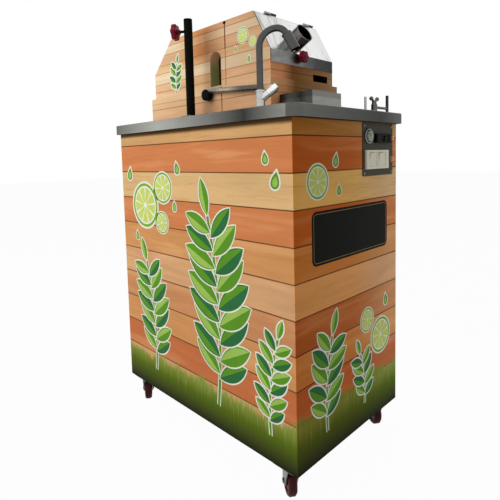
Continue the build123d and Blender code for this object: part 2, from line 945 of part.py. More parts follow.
def hood():
    # Sloped sheet with its vertical band, hinge halves and the welded feed pipe
    inside = casing_side - sheet - panel_gap
    corner = (roof_front + hood_lift, above(roof_above))
    path = [
        (corner[0] + slope_along[0] * hood_top_gap, corner[1] + slope_along[1] * hood_top_gap),
        (casing_front + hood_lift, above(hood_foot_above)),
        (casing_front + hood_lift, above(band_foot_above)),
    ]
    shape = bent_sheet(path, -sheet, (-inside, inside))
    x, z = hood_axis()
    leaf_end = hood_top_gap + knuckle_leaf
    leaf_foot = [
        (x, z),
        (corner[0] + slope_along[0] * leaf_end, corner[1] + slope_along[1] * leaf_end),
    ]
    bore = knuckle_pin_radius + running_clearance
    for y in hood_hinge_places:
        near = y + knuckle_length + panel_gap
        far = y + 2 * knuckle_length
        shape += rod(knuckle_radius, (x, near, z), (x, far, z))
        shape += bent_sheet(leaf_foot, -sheet, (near, far))
        shape -= rod(bore, (x, near - overcut, z), (x, far + overcut, z))
    shape += rod(feed_outer_radius, feed_way(-2 * sheet), feed_way(feed_length))
    shape -= rod(feed_outer_radius - feed_wall, feed_way(-feed_length), feed_way(feed_length + overcut))
    stud_z = above(hood_knob_above)
    face = casing_front + hood_lift
    hole = hood_stud_radius + running_clearance
    hole_ends = [(x, hood_knob_y, stud_z) for x in (face - sheet - overcut, face + overcut)]
    return shape - rod(hole, *hole_ends)


def hood_knob():
    z = above(hood_knob_above)
    face = casing_front + hood_lift + swivel_gap
    grip = face + hood_knob_neck
    tip = casing_front - hood_stud_length
    shape = star(hood_knob_radius, hood_knob_thickness, (grip, hood_knob_y, z), (1, 0, 0))
    shape = fillet(shape.faces().sort_by(Axis.X)[-1].edges(), knob_round)
    shape += rod(hood_stud_radius * 2, (face, hood_knob_y, z), (grip, hood_knob_y, z))
    return shape + rod(hood_stud_radius, (tip, hood_knob_y, z), (face, hood_knob_y, z))


def roller_axes():
    return {"top": top_axis, "feed": feed_axis, "exit": exit_axis}


def crusher_frame():
    # Two cheeks with their feet, joined by three tie bars
    rear = exit_axis[0] - cheek_margin_rear
    front = feed_axis[0] + cheek_margin_front
    waist = lower_z + bush_radius / 2
    head = above(cheek_top_above)
    outline = [
        (rear, above(0)),
        (front, above(0)),
        (front, waist),
        (top_axis[0] + 2 * bush_radius, head - bush_radius / 2),
        (top_axis[0] + bush_radius, head),
        (top_axis[0] - bush_radius, head),
        (top_axis[0] - 2 * bush_radius, head - bush_radius / 2),
        (rear, waist),
    ]
    shape = prism(outline, (cheek_near_out, cheek_near_in))
    shape += prism(outline, (cheek_far_in, cheek_far_out))
    foot_y = (cheek_near_out - foot_width, cheek_near_out)
    shape += block((rear, front), foot_y, (above(0), above(foot_thickness)))
    bar_level = above(pan_floor_above) - tie_bar_radius - sheet
    for x, z in (
        (rear + 2 * tie_bar_radius, bar_level),
        (front - 1.25 * tie_bar_radius, bar_level),
        (top_axis[0], head - tie_bar_radius * 1.5),
    ):
        shape += rod(tie_bar_radius, (x, cheek_near_in, z), (x, cheek_far_in, z))
    for x, z in roller_axes().values():
        shape -= rod(bush_radius, (x, cheek_near_out - overcut, z), (x, cheek_near_in + overcut, z))
        shape -= rod(bush_radius, (x, cheek_far_in - overcut, z), (x, cheek_far_out + overcut, z))
    return shape


def roller_bushes():
    outer = bush_radius - press_clearance
    inner = shaft_radius + running_clearance
    bushes = []
    for x, z in roller_axes().values():
        bushes.append(tube(outer, inner, (x, cheek_near_out, z), (x, cheek_near_in, z)))
        bushes.append(tube(outer, inner, (x, cheek_far_in, z), (x, cheek_far_out, z)))
    return bushes


def roller(axis, shaft_end):
    x, z = axis
    shape = rod(roller_radius, (x, roller_near, z), (x, roller_far, z))
    pitch = roller_length / (groove_count + 1)
    for k in range(groove_count):
        y = roller_near + (k + 1) * pitch
        half = groove_width / 2
        ring = (roller_radius + overcut, roller_radius - groove_depth)
        shape -= tube(*ring, (x, y - half, z), (x, y + half, z))
    return shape + rod(shaft_radius, (x, cheek_near_out - shaft_stub, z), (x, shaft_end, z))


def gear_outline(axis, phase):
    # Teeth with flanks thinned for backlash
    pitch = 360 / gear_teeth
    root = gear_pitch_radius - gear_root_share * gear_module
    tip = gear_pitch_radius + gear_tip_share * gear_module
    flank = list(zip((root, gear_pitch_radius, tip), tooth_shares))
    points = []
    for k in range(gear_teeth):
        middle = phase + k * pitch
        rising = [(radius, middle - share * pitch) for radius, share in flank]
        falling = [(radius, middle + share * pitch) for radius, share in reversed(flank)]
        for radius, angle in rising + falling:
            turn = math.radians(angle)
            points.append((axis[0] + radius * math.cos(turn), axis[1] + radius * math.sin(turn)))
    return points


def meshing_phase(phase, line_angle):
    # Phase of a like gear on the far end of a line of centres, a gap facing the first gear's tooth
    return line_angle + 180 - (phase - line_angle) + 180 / gear_teeth


def roller_gear(axis, phase):
    x, z = axis
    wheel = prism(gear_outline(axis, phase), (gear_start, gear_end))
    bore = shaft_radius + press_clearance
    return wheel - rod(bore, (x, gear_start - overcut, z), (x, gear_end + overcut, z))


def belt_groove(axis, radius, y):
    x, z = axis
    floor_radius = radius - belt_thickness - belt_sink - belt_clearance
    half = belt_width / 2 + belt_clearance
    return tube(radius + overcut, floor_radius, (x, y - half, z), (x, y + half, z))


def flywheel():
    x, z = top_axis
    rim_depth = 2.5 * belt_thickness
    hub = 2 * shaft_radius
    web = flywheel_width / 4
    shape = rod(flywheel_radius, (x, flywheel_start, z), (x, flywheel_end, z))
    hollow = (flywheel_radius - rim_depth, hub)
    shape -= tube(*hollow, (x, flywheel_start - overcut, z), (x, belt_y - web, z))
    shape -= tube(*hollow, (x, belt_y + web, z), (x, flywheel_end + overcut, z))
    mid = (hollow[0] + hub) / 2
    hole = (hollow[0] - hub) * flywheel_hole_share
    for k in range(flywheel_holes):
        turn = math.radians(360 / flywheel_holes * k)
        hole_x = x + mid * math.cos(turn)
        hole_z = z + mid * math.sin(turn)
        shape -= rod(hole, (hole_x, flywheel_start, hole_z), (hole_x, flywheel_end, hole_z))
    shape -= belt_groove(top_axis, flywheel_radius, belt_y)
    bore = shaft_radius + press_clearance
    return shape - rod(bore, (x, flywheel_start - overcut, z), (x, flywheel_end + overcut, z))


def drive_axis():
    return (top_roller_x, drive_z)


def drive_pulley():
    axis = drive_axis()
    x, z = axis
    shape = rod(pulley_radius, (x, flywheel_start, z), (x, flywheel_end, z))
    shape -= belt_groove(axis, pulley_radius, belt_y)
    return shape + rod(motor_shaft_radius, (x, gearbox_far - motor_shaft_depth, z), (x, flywheel_end, z))


def belt_loop(inset):
    # Face around both pulleys: two circles and the straight runs that touch them
    big = flywheel_radius - inset
    small = pulley_radius - inset
    x, high = top_axis
    span = high - drive_z
    lean = math.asin((big - small) / span)
    side = math.cos(lean)
    rise = math.sin(lean)
    runs = [
        (x - big * side, high - big * rise),
        (x + big * side, high - big * rise),
        (x + small * side, drive_z - small * rise),
        (x - small * side, drive_z - small * rise),
    ]
    half = belt_width / 2
    y_pair = (belt_y - half, belt_y + half)
    shape = prism(runs, y_pair)
    shape += rod(big, (x, y_pair[0], high), (x, y_pair[1], high))
    return shape + rod(small, (x, y_pair[0], drive_z), (x, y_pair[1], drive_z))


def drive_belt():
    return belt_loop(belt_sink) - belt_loop(belt_sink + belt_thickness)


def gearmotor():
    x, z = drive_axis()
    foot_x = (x - gearbox_half_length - motor_length, x + gearbox_half_length)
    rails = rail_places()
    shape = block(foot_x, (rails[1], rails[2] + angle_size), (mid_rail_top, mid_rail_top + motor_base))
    body_z = (z - gearbox_half_height, z + gearbox_half_height)
    case = block((x - gearbox_half_length, x + gearbox_half_length), (gearbox_near, gearbox_far), body_z)
    shape += fillet(case.edges().filter_by(Axis.Y), gearbox_round)
    middle = (gearbox_near + gearbox_far) / 2
    start = x - gearbox_half_length
    motor_z = mid_rail_top + motor_base + motor_radius
    shell_end = start - motor_length * motor_shell_share
    shape += rod(motor_radius, (start, middle, motor_z), (shell_end, middle, motor_z))
    end = start - motor_length
    shape += rod(motor_radius * motor_end_share, (start, middle, motor_z), (end, middle, motor_z))
    box_middle = (start + shell_end) / 2
    box_x = (box_middle - motor_box_half, box_middle + motor_box_half)
    box_y = (middle - motor_box_half, middle + motor_box_half)
    shape += block(box_x, box_y, (motor_z, motor_z + motor_radius + motor_box_height))
    bore = motor_shaft_radius + running_clearance
    bore_end = gearbox_far - motor_shaft_depth - swivel_gap
    return shape - rod(bore, (x, bore_end, z), (x, gearbox_far + overcut, z))


def juice_pan():
    rear = exit_axis[0] - cheek_margin_rear
    front = feed_axis[0] + cheek_margin_front
    floor = above(pan_floor_above)
    rim = above(pan_rim_above)
    y = drain_y()
    shape = block((rear, front), (cheek_near_in, cheek_far_in), (floor - sheet, rim))
    inner_y = (cheek_near_in + sheet, cheek_far_in - sheet)
    shape -= block((rear + sheet, front - sheet), inner_y, (floor, rim + overcut))
    drain_foot = mid_rail_top + tank_height - tank_clear_of_drain
    shape += rod(pan_drain_radius, (pan_drain_x, y, drain_foot), (pan_drain_x, y, floor))
    bore_ends = [(pan_drain_x, y, z) for z in (drain_foot - overcut, floor + overcut)]
    return shape - rod(pan_drain_radius - sheet, *bore_ends)


def juice_tank():
    top = mid_rail_top + tank_height
    shape = block(tank_x, tank_y, (mid_rail_top, top))
    inner_x = (tank_x[0] + sheet, tank_x[1] - sheet)
    inner_y = (tank_y[0] + sheet, tank_y[1] - sheet)
    shape -= block(inner_x, inner_y, (mid_rail_top + sheet, top + overcut))
    z = mid_rail_top + suction_above_rail
    hole_ends = [(tap_x, y, z) for y in (tank_y[0] - overcut, inner_y[0] + overcut)]
    return shape - rod(juice_pipe_bore, *hole_ends)


def pump_axis_z():
    return mid_rail_top + pump_seat + pump_radius


def pump_boss_top():
    return pump_axis_z() + pump_radius + pump_boss_radius


def juice_pump():
    z = pump_axis_z()
    start = tap_x - pump_length * pump_back_share
    end = start + pump_length
    head_end = tap_x + pump_boss_radius + pump_head_margin
    shape = rod(pump_radius, (start, tap_y, z), (head_end, tap_y, z))
    shape += rod(pump_radius * pump_motor_share, (start, tap_y, z), (end, tap_y, z))
    foot = pump_radius * pump_foot_share
    shape += block((start, end), (tap_y - foot, tap_y + foot), (mid_rail_top, z - pump_radius / 2))
    shape += rod(pump_boss_radius, (tap_x, tap_y, z), (tap_x, tap_y, pump_boss_top()))
    suction_z = mid_rail_top + suction_above_rail
    boss_y = tap_y + pump_radius + pump_boss_radius
    return shape + rod(pump_boss_radius, (tap_x, tap_y, suction_z), (tap_x, boss_y, suction_z))


def juice_pipes():
    z = mid_rail_top + suction_above_rail
    boss_y = tap_y + pump_radius + pump_boss_radius
    suction = tube(juice_pipe_radius, juice_pipe_bore, (tap_x, boss_y, z), (tap_x, tank_y[0], z))
    riser_top = above(-tap_shank_length)
    riser_ends = [(tap_x, tap_y, level) for level in (pump_boss_top(), riser_top)]
    riser = tube(juice_pipe_radius, juice_pipe_bore, *riser_ends)
    return suction, riser


def chute_start_x():
    return exit_axis[0] - roller_radius - chute_start_gap


def chute_end_x():
    return casing_rear - plinth_step - chute_lip


def chute_level(x):
    # Underside of the chute's floor at a place along X
    share = (chute_start_x() - x) / (chute_start_x() - chute_end_x())
    return above(chute_start_above + (chute_end_above - chute_start_above) * share)


def bagasse_chute():
    start = chute_start_x()
    end = chute_end_x()
    floor = [(start, chute_level(start)), (end, chute_level(end))]
    shape = bent_sheet(floor, -sheet, (cheek_near_in, cheek_far_in))
    wall_start = start - roller_radius / 2
    wall = [
        (wall_start, chute_level(wall_start)),
        (end, chute_level(end)),
        (end, chute_level(end) + chute_wall),
        (wall_start, chute_level(wall_start) + chute_wall),
    ]
    shape += prism(wall, (cheek_near_in, cheek_near_in + sheet))
    return shape + prism(wall, (cheek_far_in - sheet, cheek_far_in))


def side_way(distance, level):
    # A point along the tap's tilted side axis
    heading = math.radians(tap_side_angle)
    tilt = math.radians(tap_side_tilt)
    flat = distance * math.cos(tilt)
    z = level + distance * math.sin(tilt)
    return (tap_x + flat * math.cos(heading), tap_y + flat * math.sin(heading), z)


def tap_body():
    level = above(tap_side_above)
    top = above(tap_pillar_above)
    shape = rod(tap_flange_radius, (tap_x, tap_y, above(0)), (tap_x, tap_y, above(tap_flange)))
    shape += rod(tap_pillar_radius, (tap_x, tap_y, above(0)), (tap_x, tap_y, top))
    shape += rod(tap_shank_radius, (tap_x, tap_y, above(-tap_shank_length)), (tap_x, tap_y, above(0)))
    nut_foot = frame_top - tap_nut_height
    shape += rod(tap_nut_radius, (tap_x, tap_y, nut_foot), (tap_x, tap_y, frame_top))
    shape += rod(tap_boss_radius, side_way(0, level), side_way(tap_boss_reach, level))
    spindle_end = tap_boss_reach + tap_spindle_length
    shape += rod(tap_spindle_radius, side_way(0, level), side_way(spindle_end, level))
    socket = spout_radius + running_clearance
    shape -= rod(socket, (tap_x, tap_y, top - spout_socket), (tap_x, tap_y, top + overcut))
    shank_foot = above(-tap_shank_length - overcut)
    return shape - rod(juice_pipe_bore, (tap_x, tap_y, shank_foot), (tap_x, tap_y, top))


def tap_handle():
    level = above(tap_side_above)
    start = tap_boss_reach + swivel_gap
    end = start + tap_handle_length
    shape = rod(tap_handle_radius, side_way(start, level), side_way(end - tap_handle_nose, level))
    shape += rod(tap_handle_radius - tap_handle_step, side_way(start, level), side_way(end, level))
    bore = tap_spindle_radius + running_clearance
    bore_end = start + tap_spindle_length + overcut
    return shape - rod(bore, side_way(start - overcut, level), side_way(bore_end, level))


def spout():
    # Swan neck: straight riser, quarter bend, a tighter dip and a wide straight nozzle
    heading = math.radians(spout_heading)
    towards = (math.cos(heading), math.sin(heading))
    level = above(spout_bend_above)

    def spot(reach, rise):
        return (tap_x + reach * towards[0], tap_y + reach * towards[1], level + rise)

    plane = Plane(origin=spot(0, 0), x_dir=(*towards, 0), z_dir=(towards[1], -towards[0], 0))
    bend = plane * CenterArc((spout_bend_radius, 0), spout_bend_radius, 180, -90)
    dip_centre = (spout_bend_radius, spout_bend_radius - spout_dip_radius)
    dip = plane * CenterArc(dip_centre, spout_dip_radius, 90, -spout_dip)
    ring = Circle(spout_radius) - Circle(spout_bore)
    foot = above(tap_pillar_above - spout_socket) + swivel_gap
    shape = tube(spout_radius, spout_bore, (tap_x, tap_y, foot), spot(0, 0))
    shape += sweep(Plane(origin=spot(0, 0), z_dir=(0, 0, 1)) * ring, path=bend)
    peak = spot(spout_bend_radius, spout_bend_radius)
    shape += sweep(Plane(origin=peak, z_dir=(*towards, 0)) * ring, path=dip)
    return shape + nozzle(spot, dip_centre)


def nozzle(spot, dip_centre):
    # Hollow sleeve on the end of the spout, open at its lower end
    dip = math.radians(spout_dip)
    reach = dip_centre[0] + spout_dip_radius * math.sin(dip)
    rise = dip_centre[1] + spout_dip_radius * math.cos(dip)

    def along(distance):
        return spot(reach + distance * math.cos(dip), rise - distance * math.sin(dip))

    shape = rod(nozzle_radius, along(0), along(nozzle_length))
    shape = fillet(shape.edges().filter_by(GeomType.CIRCLE), nozzle_round)
    shape -= rod(nozzle_radius - nozzle_wall, along(nozzle_wall), along(nozzle_length + overcut))
    return shape - rod(spout_bore, along(-overcut), along(nozzle_length))


def drip_tray():
    shape = block(tray_x, tray_y, (above(0), above(tray_above)))
    inner_x = (tray_x[0] + sheet, tray_x[1] - sheet)
    inner_y = (tray_y[0] + sheet, tray_y[1] - sheet)
    shape -= block(inner_x, inner_y, (above(sheet), above(tray_above + overcut)))
    ledge_top = above(tray_above - grille_below_rim - sheet)
    ledge_z = (ledge_top - sheet, ledge_top)
    ledge = block(inner_x, inner_y, ledge_z)
    well_x = (inner_x[0] + tray_ledge, inner_x[1] - tray_ledge)
    well_y = (inner_y[0] + tray_ledge, inner_y[1] - tray_ledge)
    well_z = (ledge_z[0] - overcut, ledge_z[1] + overcut)
    return shape + (ledge - block(well_x, well_y, well_z))


def drip_grille():
    grille_x = (tray_x[0] + sheet + panel_gap, tray_x[1] - sheet - panel_gap)
    grille_y = (tray_y[0] + sheet + panel_gap, tray_y[1] - sheet - panel_gap)
    top = above(tray_above - grille_below_rim)
    shape = block(grille_x, grille_y, (top - sheet, top))
    rim = tray_ledge + grille_bar
    pitch = (grille_x[1] - grille_x[0] - 2 * rim + grille_bar) / grille_slots
    slot_length = (grille_y[0] + rim, grille_y[1] - rim)
    slot_z = (top - sheet - overcut, top + overcut)
    for k in range(grille_slots):
        x = grille_x[0] + rim + k * pitch
        shape -= block((x, x + pitch - grille_bar), slot_length, slot_z)
    return shape


def post_side(distance):
    # A point on the clamp screw's axis, level with the knob
    heading = math.radians(post_knob_heading)
    x = post_x + distance * math.cos(heading)
    y = post_y + distance * math.sin(heading)
    return (x, y, above(post_knob_above))


def post():
    shape = rod(post_flange_radius, (post_x, post_y, above(0)), (post_x, post_y, above(post_flange)))
    shape += rod(post_radius, (post_x, post_y, above(0)), (post_x, post_y, above(post_above)))
    bore_ends = [(post_x, post_y, above(level)) for level in (post_flange, post_above + overcut)]
    shape -= rod(post_radius - post_wall, *bore_ends)
    hole = post_screw_radius + running_clearance
    return shape - rod(hole, post_side(post_radius / 2), post_side(post_radius + overcut))


def post_knob():
    # Clamp screw backed off flush with the bore
    tip = post_radius - post_wall + swivel_gap
    grip = post_radius + post_screw_reach
    heading = math.radians(post_knob_heading)
    along = (math.cos(heading), math.sin(heading), 0)
    shape = star(post_knob_radius, post_knob_thickness, post_side(grip), along)
    outer_face = shape.faces().sort_by(Axis((0, 0, 0), along))[-1]
    shape = fillet(outer_face.edges(), knob_round)
    collar = post_screw_radius * 2
    shape += rod(collar, post_side(grip), post_side(grip - collar))
    return shape + rod(post_screw_radius, post_side(grip), post_side(tip))


def rinse_tap_body():
    z = above(0)
    half = rinse_base_half_width
    base_y = (rinse_rod_y - half, rinse_outlet_y + half)
    shape = block((rinse_x - half, rinse_x + half), base_y, (z, z + rinse_base))
    hub_top = above(rinse_body_above)
    shape += rod(rinse_body_radius, (rinse_x, rinse_hub_y, z), (rinse_x, rinse_hub_y, hub_top))
    level = above(rinse_pipe_above - rinse_pipe_radius)
    shape += rod(rinse_pipe_radius, (rinse_x, rinse_hub_y, level), (rinse_x, rinse_outlet_y, level))
    outlet_top = above(rinse_outlet_above)
    shape += rod(rinse_outlet_radius, (rinse_x, rinse_outlet_y, z), (rinse_x, rinse_outlet_y, outlet_top))
    rod_top = above(rinse_rod_above)
    shape += rod(rinse_rod_radius, (rinse_x, rinse_rod_y, z), (rinse_x, rinse_rod_y, rod_top))
    spindle_top = hub_top + rinse_spindle_length
    shape += rod(rinse_spindle_radius, (rinse_x, rinse_hub_y, z), (rinse_x, rinse_hub_y, spindle_top))
    shank_x = rinse_x - rinse_base_half_width
    shank_foot = z - rinse_shank_length
    shank_ends = [(shank_x, rinse_hub_y, level) for level in (shank_foot, z + rinse_base)]
    return shape + rod(rinse_shank_radius, *shank_ends)


def rinse_tap_handle():
    start = above(rinse_body_above) + swivel_gap
    end = start + rinse_handle_height
    shape = rod(rinse_handle_radius, (rinse_x, rinse_hub_y, start), (rinse_x, rinse_hub_y, end))
    for side in (-1, 1):
        lobe = (rinse_x, rinse_hub_y + side * rinse_lobe_spread, above(rinse_lobe_above))
        shape += rod(rinse_neck_radius, (rinse_x, rinse_hub_y, end - rinse_neck_drop), lobe)
        shape += Pos(*lobe) * Sphere(rinse_lobe_radius)
    bore = rinse_spindle_radius + running_clearance
    bore_ends = [(rinse_x, rinse_hub_y, level) for level in (start - overcut, end - rinse_cap)]
    return shape - rod(bore, *bore_ends)


def cable_gland():
    start = -half_length
    hexagon = Plane(origin=(start, gland_y, gland_z), z_dir=(-1, 0, 0)) * RegularPolygon(gland_radius, 6)
    shape = extrude(hexagon, amount=gland_reach / 2)
    shape += rod(gland_cap_radius, (start, gland_y, gland_z), (start - gland_reach, gland_y, gland_z))
    inside = start + sheet
    thread_radius = gland_thread_radius - press_clearance
    shape += rod(thread_radius, (start, gland_y, gland_z), (inside, gland_y, gland_z))
    shape += rod(gland_radius, (inside, gland_y, gland_z), (inside + gland_nut, gland_y, gland_z))
    bore_x = (start - gland_reach - overcut, inside + gland_nut + overcut)
    bore_ends = [(x, gland_y, gland_z) for x in bore_x]
    return shape - rod(gland_bore_radius, *bore_ends)


def panel_screws():
    screws = []
    face = device_face()
    for y in (plate_y[0] + screw_inset, plate_y[1] - screw_inset):
        for z in (plate_z[0] + screw_inset, plate_z[1] - screw_inset):
            screws.append(rod(screw_head_radius, (face, y, z), (face + screw_head_height, y, z)))
    ring = (post_radius + post_flange_radius) / 2
    top = above(post_flange)
    for k in range(4):
        turn = math.radians(45 + 90 * k)
        x = post_x + ring * math.cos(turn)
        y = post_y + ring * math.sin(turn)
        screws.append(rod(screw_head_radius, (x, y, top), (x, y, top + screw_head_height)))
    return screws


def roller_and_gear_nodes():
    phase = spread_angle - 90
    lines = {"feed": spread_angle - 90, "exit": -spread_angle - 90}
    write("top_roller", roller(top_axis, flywheel_end + shaft_stub))
    write("top_gear", roller_gear(top_axis, phase))
    for name in ("feed", "exit"):
        axis = roller_axes()[name]
        write(name + "_roller", roller(axis, gear_end + shaft_stub / 2))
        write(name + "_gear", roller_gear(axis, meshing_phase(phase, lines[name])))


os.makedirs("parts", exist_ok=True)

write("base_frame", base_frame())
write("front_panel", front_panel())
write("operator_end_panel", operator_end_panel())
write("rear_end_panel", rear_end_panel())
write("service_door", service_door())
write("door_latch", door_latch())
write("worktop", worktop())
write("cable_gland", cable_gland())
write("caster_plates", *[caster_plate(x, y) for x, y in caster_axes().values()])
for corner, (corner_x, corner_y) in caster_axes().items():
    write("caster_fork_" + corner, caster_fork(corner_x, corner_y))
    write("caster_wheel_" + corner, caster_wheel(corner_x, corner_y))
write("control_plate", control_plate())
write("push_button", push_button())
write("breaker_body", breaker_body())
write("breaker_toggle", breaker_toggle())
write("switch_plate", switch_plate())
write("rocker_left", rocker(rocker_places[0]))
write("rocker_right", rocker(rocker_places[1]))
write("indicator_lamps", *[lamp(z) for z in lamp_heights])
write("panel_screws", *panel_screws())
write("casing_plinth", casing_plinth())
write("near_side_panel", near_side_panel())
write("far_side_panel", far_side_panel())
write("casing_cover", casing_cover())
write("casing_front_panel", casing_front_panel())
write("hood", hood())
write("hood_knob", hood_knob())
write("crusher_frame", crusher_frame())
write("roller_bushes", *roller_bushes())
roller_and_gear_nodes()
write("flywheel", flywheel())
write("drive_belt", drive_belt())
write("drive_pulley", drive_pulley())
write("gearmotor", gearmotor())
write("juice_pan", juice_pan())
write("juice_tank", juice_tank())
write("juice_pump", juice_pump())
write("juice_pipes", *juice_pipes())
write("bagasse_chute", bagasse_chute())
write("tap_body", tap_body())
write("tap_handle", tap_handle())
write("spout", spout())
write("drip_tray", drip_tray())
write("drip_grille", drip_grille())
write("post", post())
write("post_knob", post_knob())
write("hand_lever", hand_lever())
write("rinse_tap_body", rinse_tap_body())
write("rinse_tap_handle", rinse_tap_handle())
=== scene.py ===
import math
import bpy
import bmesh
from mathutils import Matrix, Vector


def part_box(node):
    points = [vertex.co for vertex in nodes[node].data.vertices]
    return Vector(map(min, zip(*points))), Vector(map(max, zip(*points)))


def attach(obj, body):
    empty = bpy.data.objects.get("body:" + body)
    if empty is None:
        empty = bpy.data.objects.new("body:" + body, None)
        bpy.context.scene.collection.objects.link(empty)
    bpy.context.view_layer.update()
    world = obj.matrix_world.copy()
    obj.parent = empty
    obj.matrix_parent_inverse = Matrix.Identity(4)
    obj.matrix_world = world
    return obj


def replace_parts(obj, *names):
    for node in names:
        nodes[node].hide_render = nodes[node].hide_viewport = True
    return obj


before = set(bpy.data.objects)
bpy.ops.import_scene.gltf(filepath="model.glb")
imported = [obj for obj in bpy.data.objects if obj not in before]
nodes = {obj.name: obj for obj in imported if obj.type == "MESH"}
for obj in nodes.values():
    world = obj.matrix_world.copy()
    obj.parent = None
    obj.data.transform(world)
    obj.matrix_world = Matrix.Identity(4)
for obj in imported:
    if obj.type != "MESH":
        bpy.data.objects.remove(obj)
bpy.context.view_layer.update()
print("frame loaded:", len(nodes), "nodes")

hair = 0.001  # width of the blend between two zones of a finish


# Wraps one node socket so that shader maths reads as ordinary sums
class Value:
    def __init__(self, finish, socket):
        self.finish = finish
        self.socket = socket

    def operator(kind, reflected=False):
        def run(self, other=0.0):
            first, second = (other, self) if reflected else (self, other)
            return self.finish.add("ShaderNodeMath", {"operation": kind}, {0: first, 1: second})
        return run

    __add__, __radd__ = operator("ADD"), operator("ADD", True)
    __sub__, __rsub__ = operator("SUBTRACT"), operator("SUBTRACT", True)
    __mul__, __rmul__ = operator("MULTIPLY"), operator("MULTIPLY", True)
    __truediv__, __rtruediv__ = operator("DIVIDE"), operator("DIVIDE", True)
    __pow__, __rpow__ = operator("POWER"), operator("POWER", True)
    atLeast, atMost, floor = operator("MAXIMUM"), operator("MINIMUM"), operator("FLOOR")

    def between(self, low, high):  # 0 below low, 1 above high, smooth between
        settings = {"interpolation_type": "SMOOTHSTEP"}
        return self.finish.add("ShaderNodeMapRange", settings, {"Value": self, "From Min": low, "From Max": high})

    def above(self, level):  # 0 at the level, 1 a hair over it
        return self.between(level, level + hair)

    def below(self, level):  # 1 at the level, 0 a hair over it
        return self.between(level + hair, level)

    def size(self):  # without its sign
        return (self ** 2.0) ** 0.5


# One material and its nodes
class Finish:
    def __init__(self, name, kind="ShaderNodeBsdfPrincipled", world=None):
        self.material = world or bpy.data.materials.new(name)
        self.material.use_nodes = True
        self.tree = self.material.node_tree
        self.tree.nodes.clear()
        self.shader = self.tree.nodes.new(kind)
        out = self.tree.nodes.new("ShaderNodeOutputWorld" if world else "ShaderNodeOutputMaterial")
        self.tree.links.new(self.shader.outputs[0], out.inputs["Surface"])

    def add(self, kind, settings=None, inputs=None, output=0):
        node = self.tree.nodes.new(kind)
        for key, value in (settings or {}).items():
            if key == "stops":
                self.setStops(node.color_ramp, value)
            else:
                setattr(node, key, value)
        for key, value in (inputs or {}).items():
            self.feed(node.inputs[key], value)
        return Value(self, node.outputs[output])

    def feed(self, socket, value):
        if isinstance(value, Value):
            self.tree.links.new(value.socket, socket)
        else:
            socket.default_value = value

    def setStops(self, ramp, stops):
        while len(ramp.elements) < len(stops):
            ramp.elements.new(1.0)
        for element, (spot, colour) in zip(ramp.elements, stops):
            element.position = spot
            element.color = (*colour, 1.0)

    def surface(self, **values):
        names = {"colour": "Base Color", "coat": "Coat Weight", "specular": "Specular IOR Level"}
        for key, value in values.items():
            if isinstance(value, tuple) and len(value) == 3:
                value = (*value, 1.0)
            self.feed(self.shader.inputs[names.get(key, key.capitalize())], value)
        return self

    def place(self):
        return self.add("ShaderNodeTexCoord", output=3)

    def axes(self):
        split = self.add("ShaderNodeSeparateXYZ", inputs={0: self.place()})
        return [Value(self, socket) for socket in split.socket.node.outputs]

    def point(self, x, y, z):
        return self.add("ShaderNodeCombineXYZ", inputs={0: x, 1: y, 2: z})

    def noise(self, where, scale, detail=2.0, rough=0.5, warp=0.0):
        inputs = {"Vector": where, "Scale": scale, "Detail": detail, "Roughness": rough, "Distortion": warp}
        return self.add("ShaderNodeTexNoise", inputs=inputs)

    def cloud(self, scale, *rest):  # noise in the part's own space
        return self.noise(self.place(), scale, *rest)

    def stretched(self, axes, stretch, *rest):  # noise drawn out along its axes
        return self.noise(self.point(*[axis * by for axis, by in zip(axes, stretch)]), 1.0, *rest)

    def blend(self, share, first, second, kind="MIX"):
        settings = {"data_type": "RGBA", "blend_type": kind}
        colours = [(*c, 1.0) if isinstance(c, tuple) else c for c in (first, second)]
        return self.add("ShaderNodeMix", settings, {0: share, 6: colours[0], 7: colours[1]}, output=2)

    def ramp(self, value, stops, interpolation="LINEAR"):
        made = self.add("ShaderNodeValToRGB", {"stops": stops}, {0: value})
        made.socket.node.color_ramp.interpolation = interpolation
        return made

    def ramped(self, value, points):  # a ramp whose stops lie at real places
        first, last = points[0][0], points[-1][0]
        stops = [((place - first) / (last - first), colour) for place, colour in points]
        return self.ramp((value - first) / (last - first), stops)

    def profile(self, value, points):  # a value drawn through (place, height) points
        peak = max(height for place, height in points)
        return self.ramped(value, [(place, (height / peak,) * 3) for place, height in points]) * peak

    def drift(self, value, points, gain):  # a colour that changes along a line, times a gain
        return self.tint(self.ramped(value, points), gain)

    def tint(self, colour, amount):  # scales a colour's brightness by a value
        settings = {"operation": "SCALE"}
        return self.add("ShaderNodeVectorMath", settings, {0: colour, "Scale": amount})

    def bump(self, height, depth, strength=1.0):
        return self.add("ShaderNodeBump", inputs={"Height": height, "Distance": depth, "Strength": strength})

    def steel(self, hue, tone, rough, normal):
        return self.surface(colour=self.tint(hue, tone), roughness=rough, metallic=1.0, normal=normal)


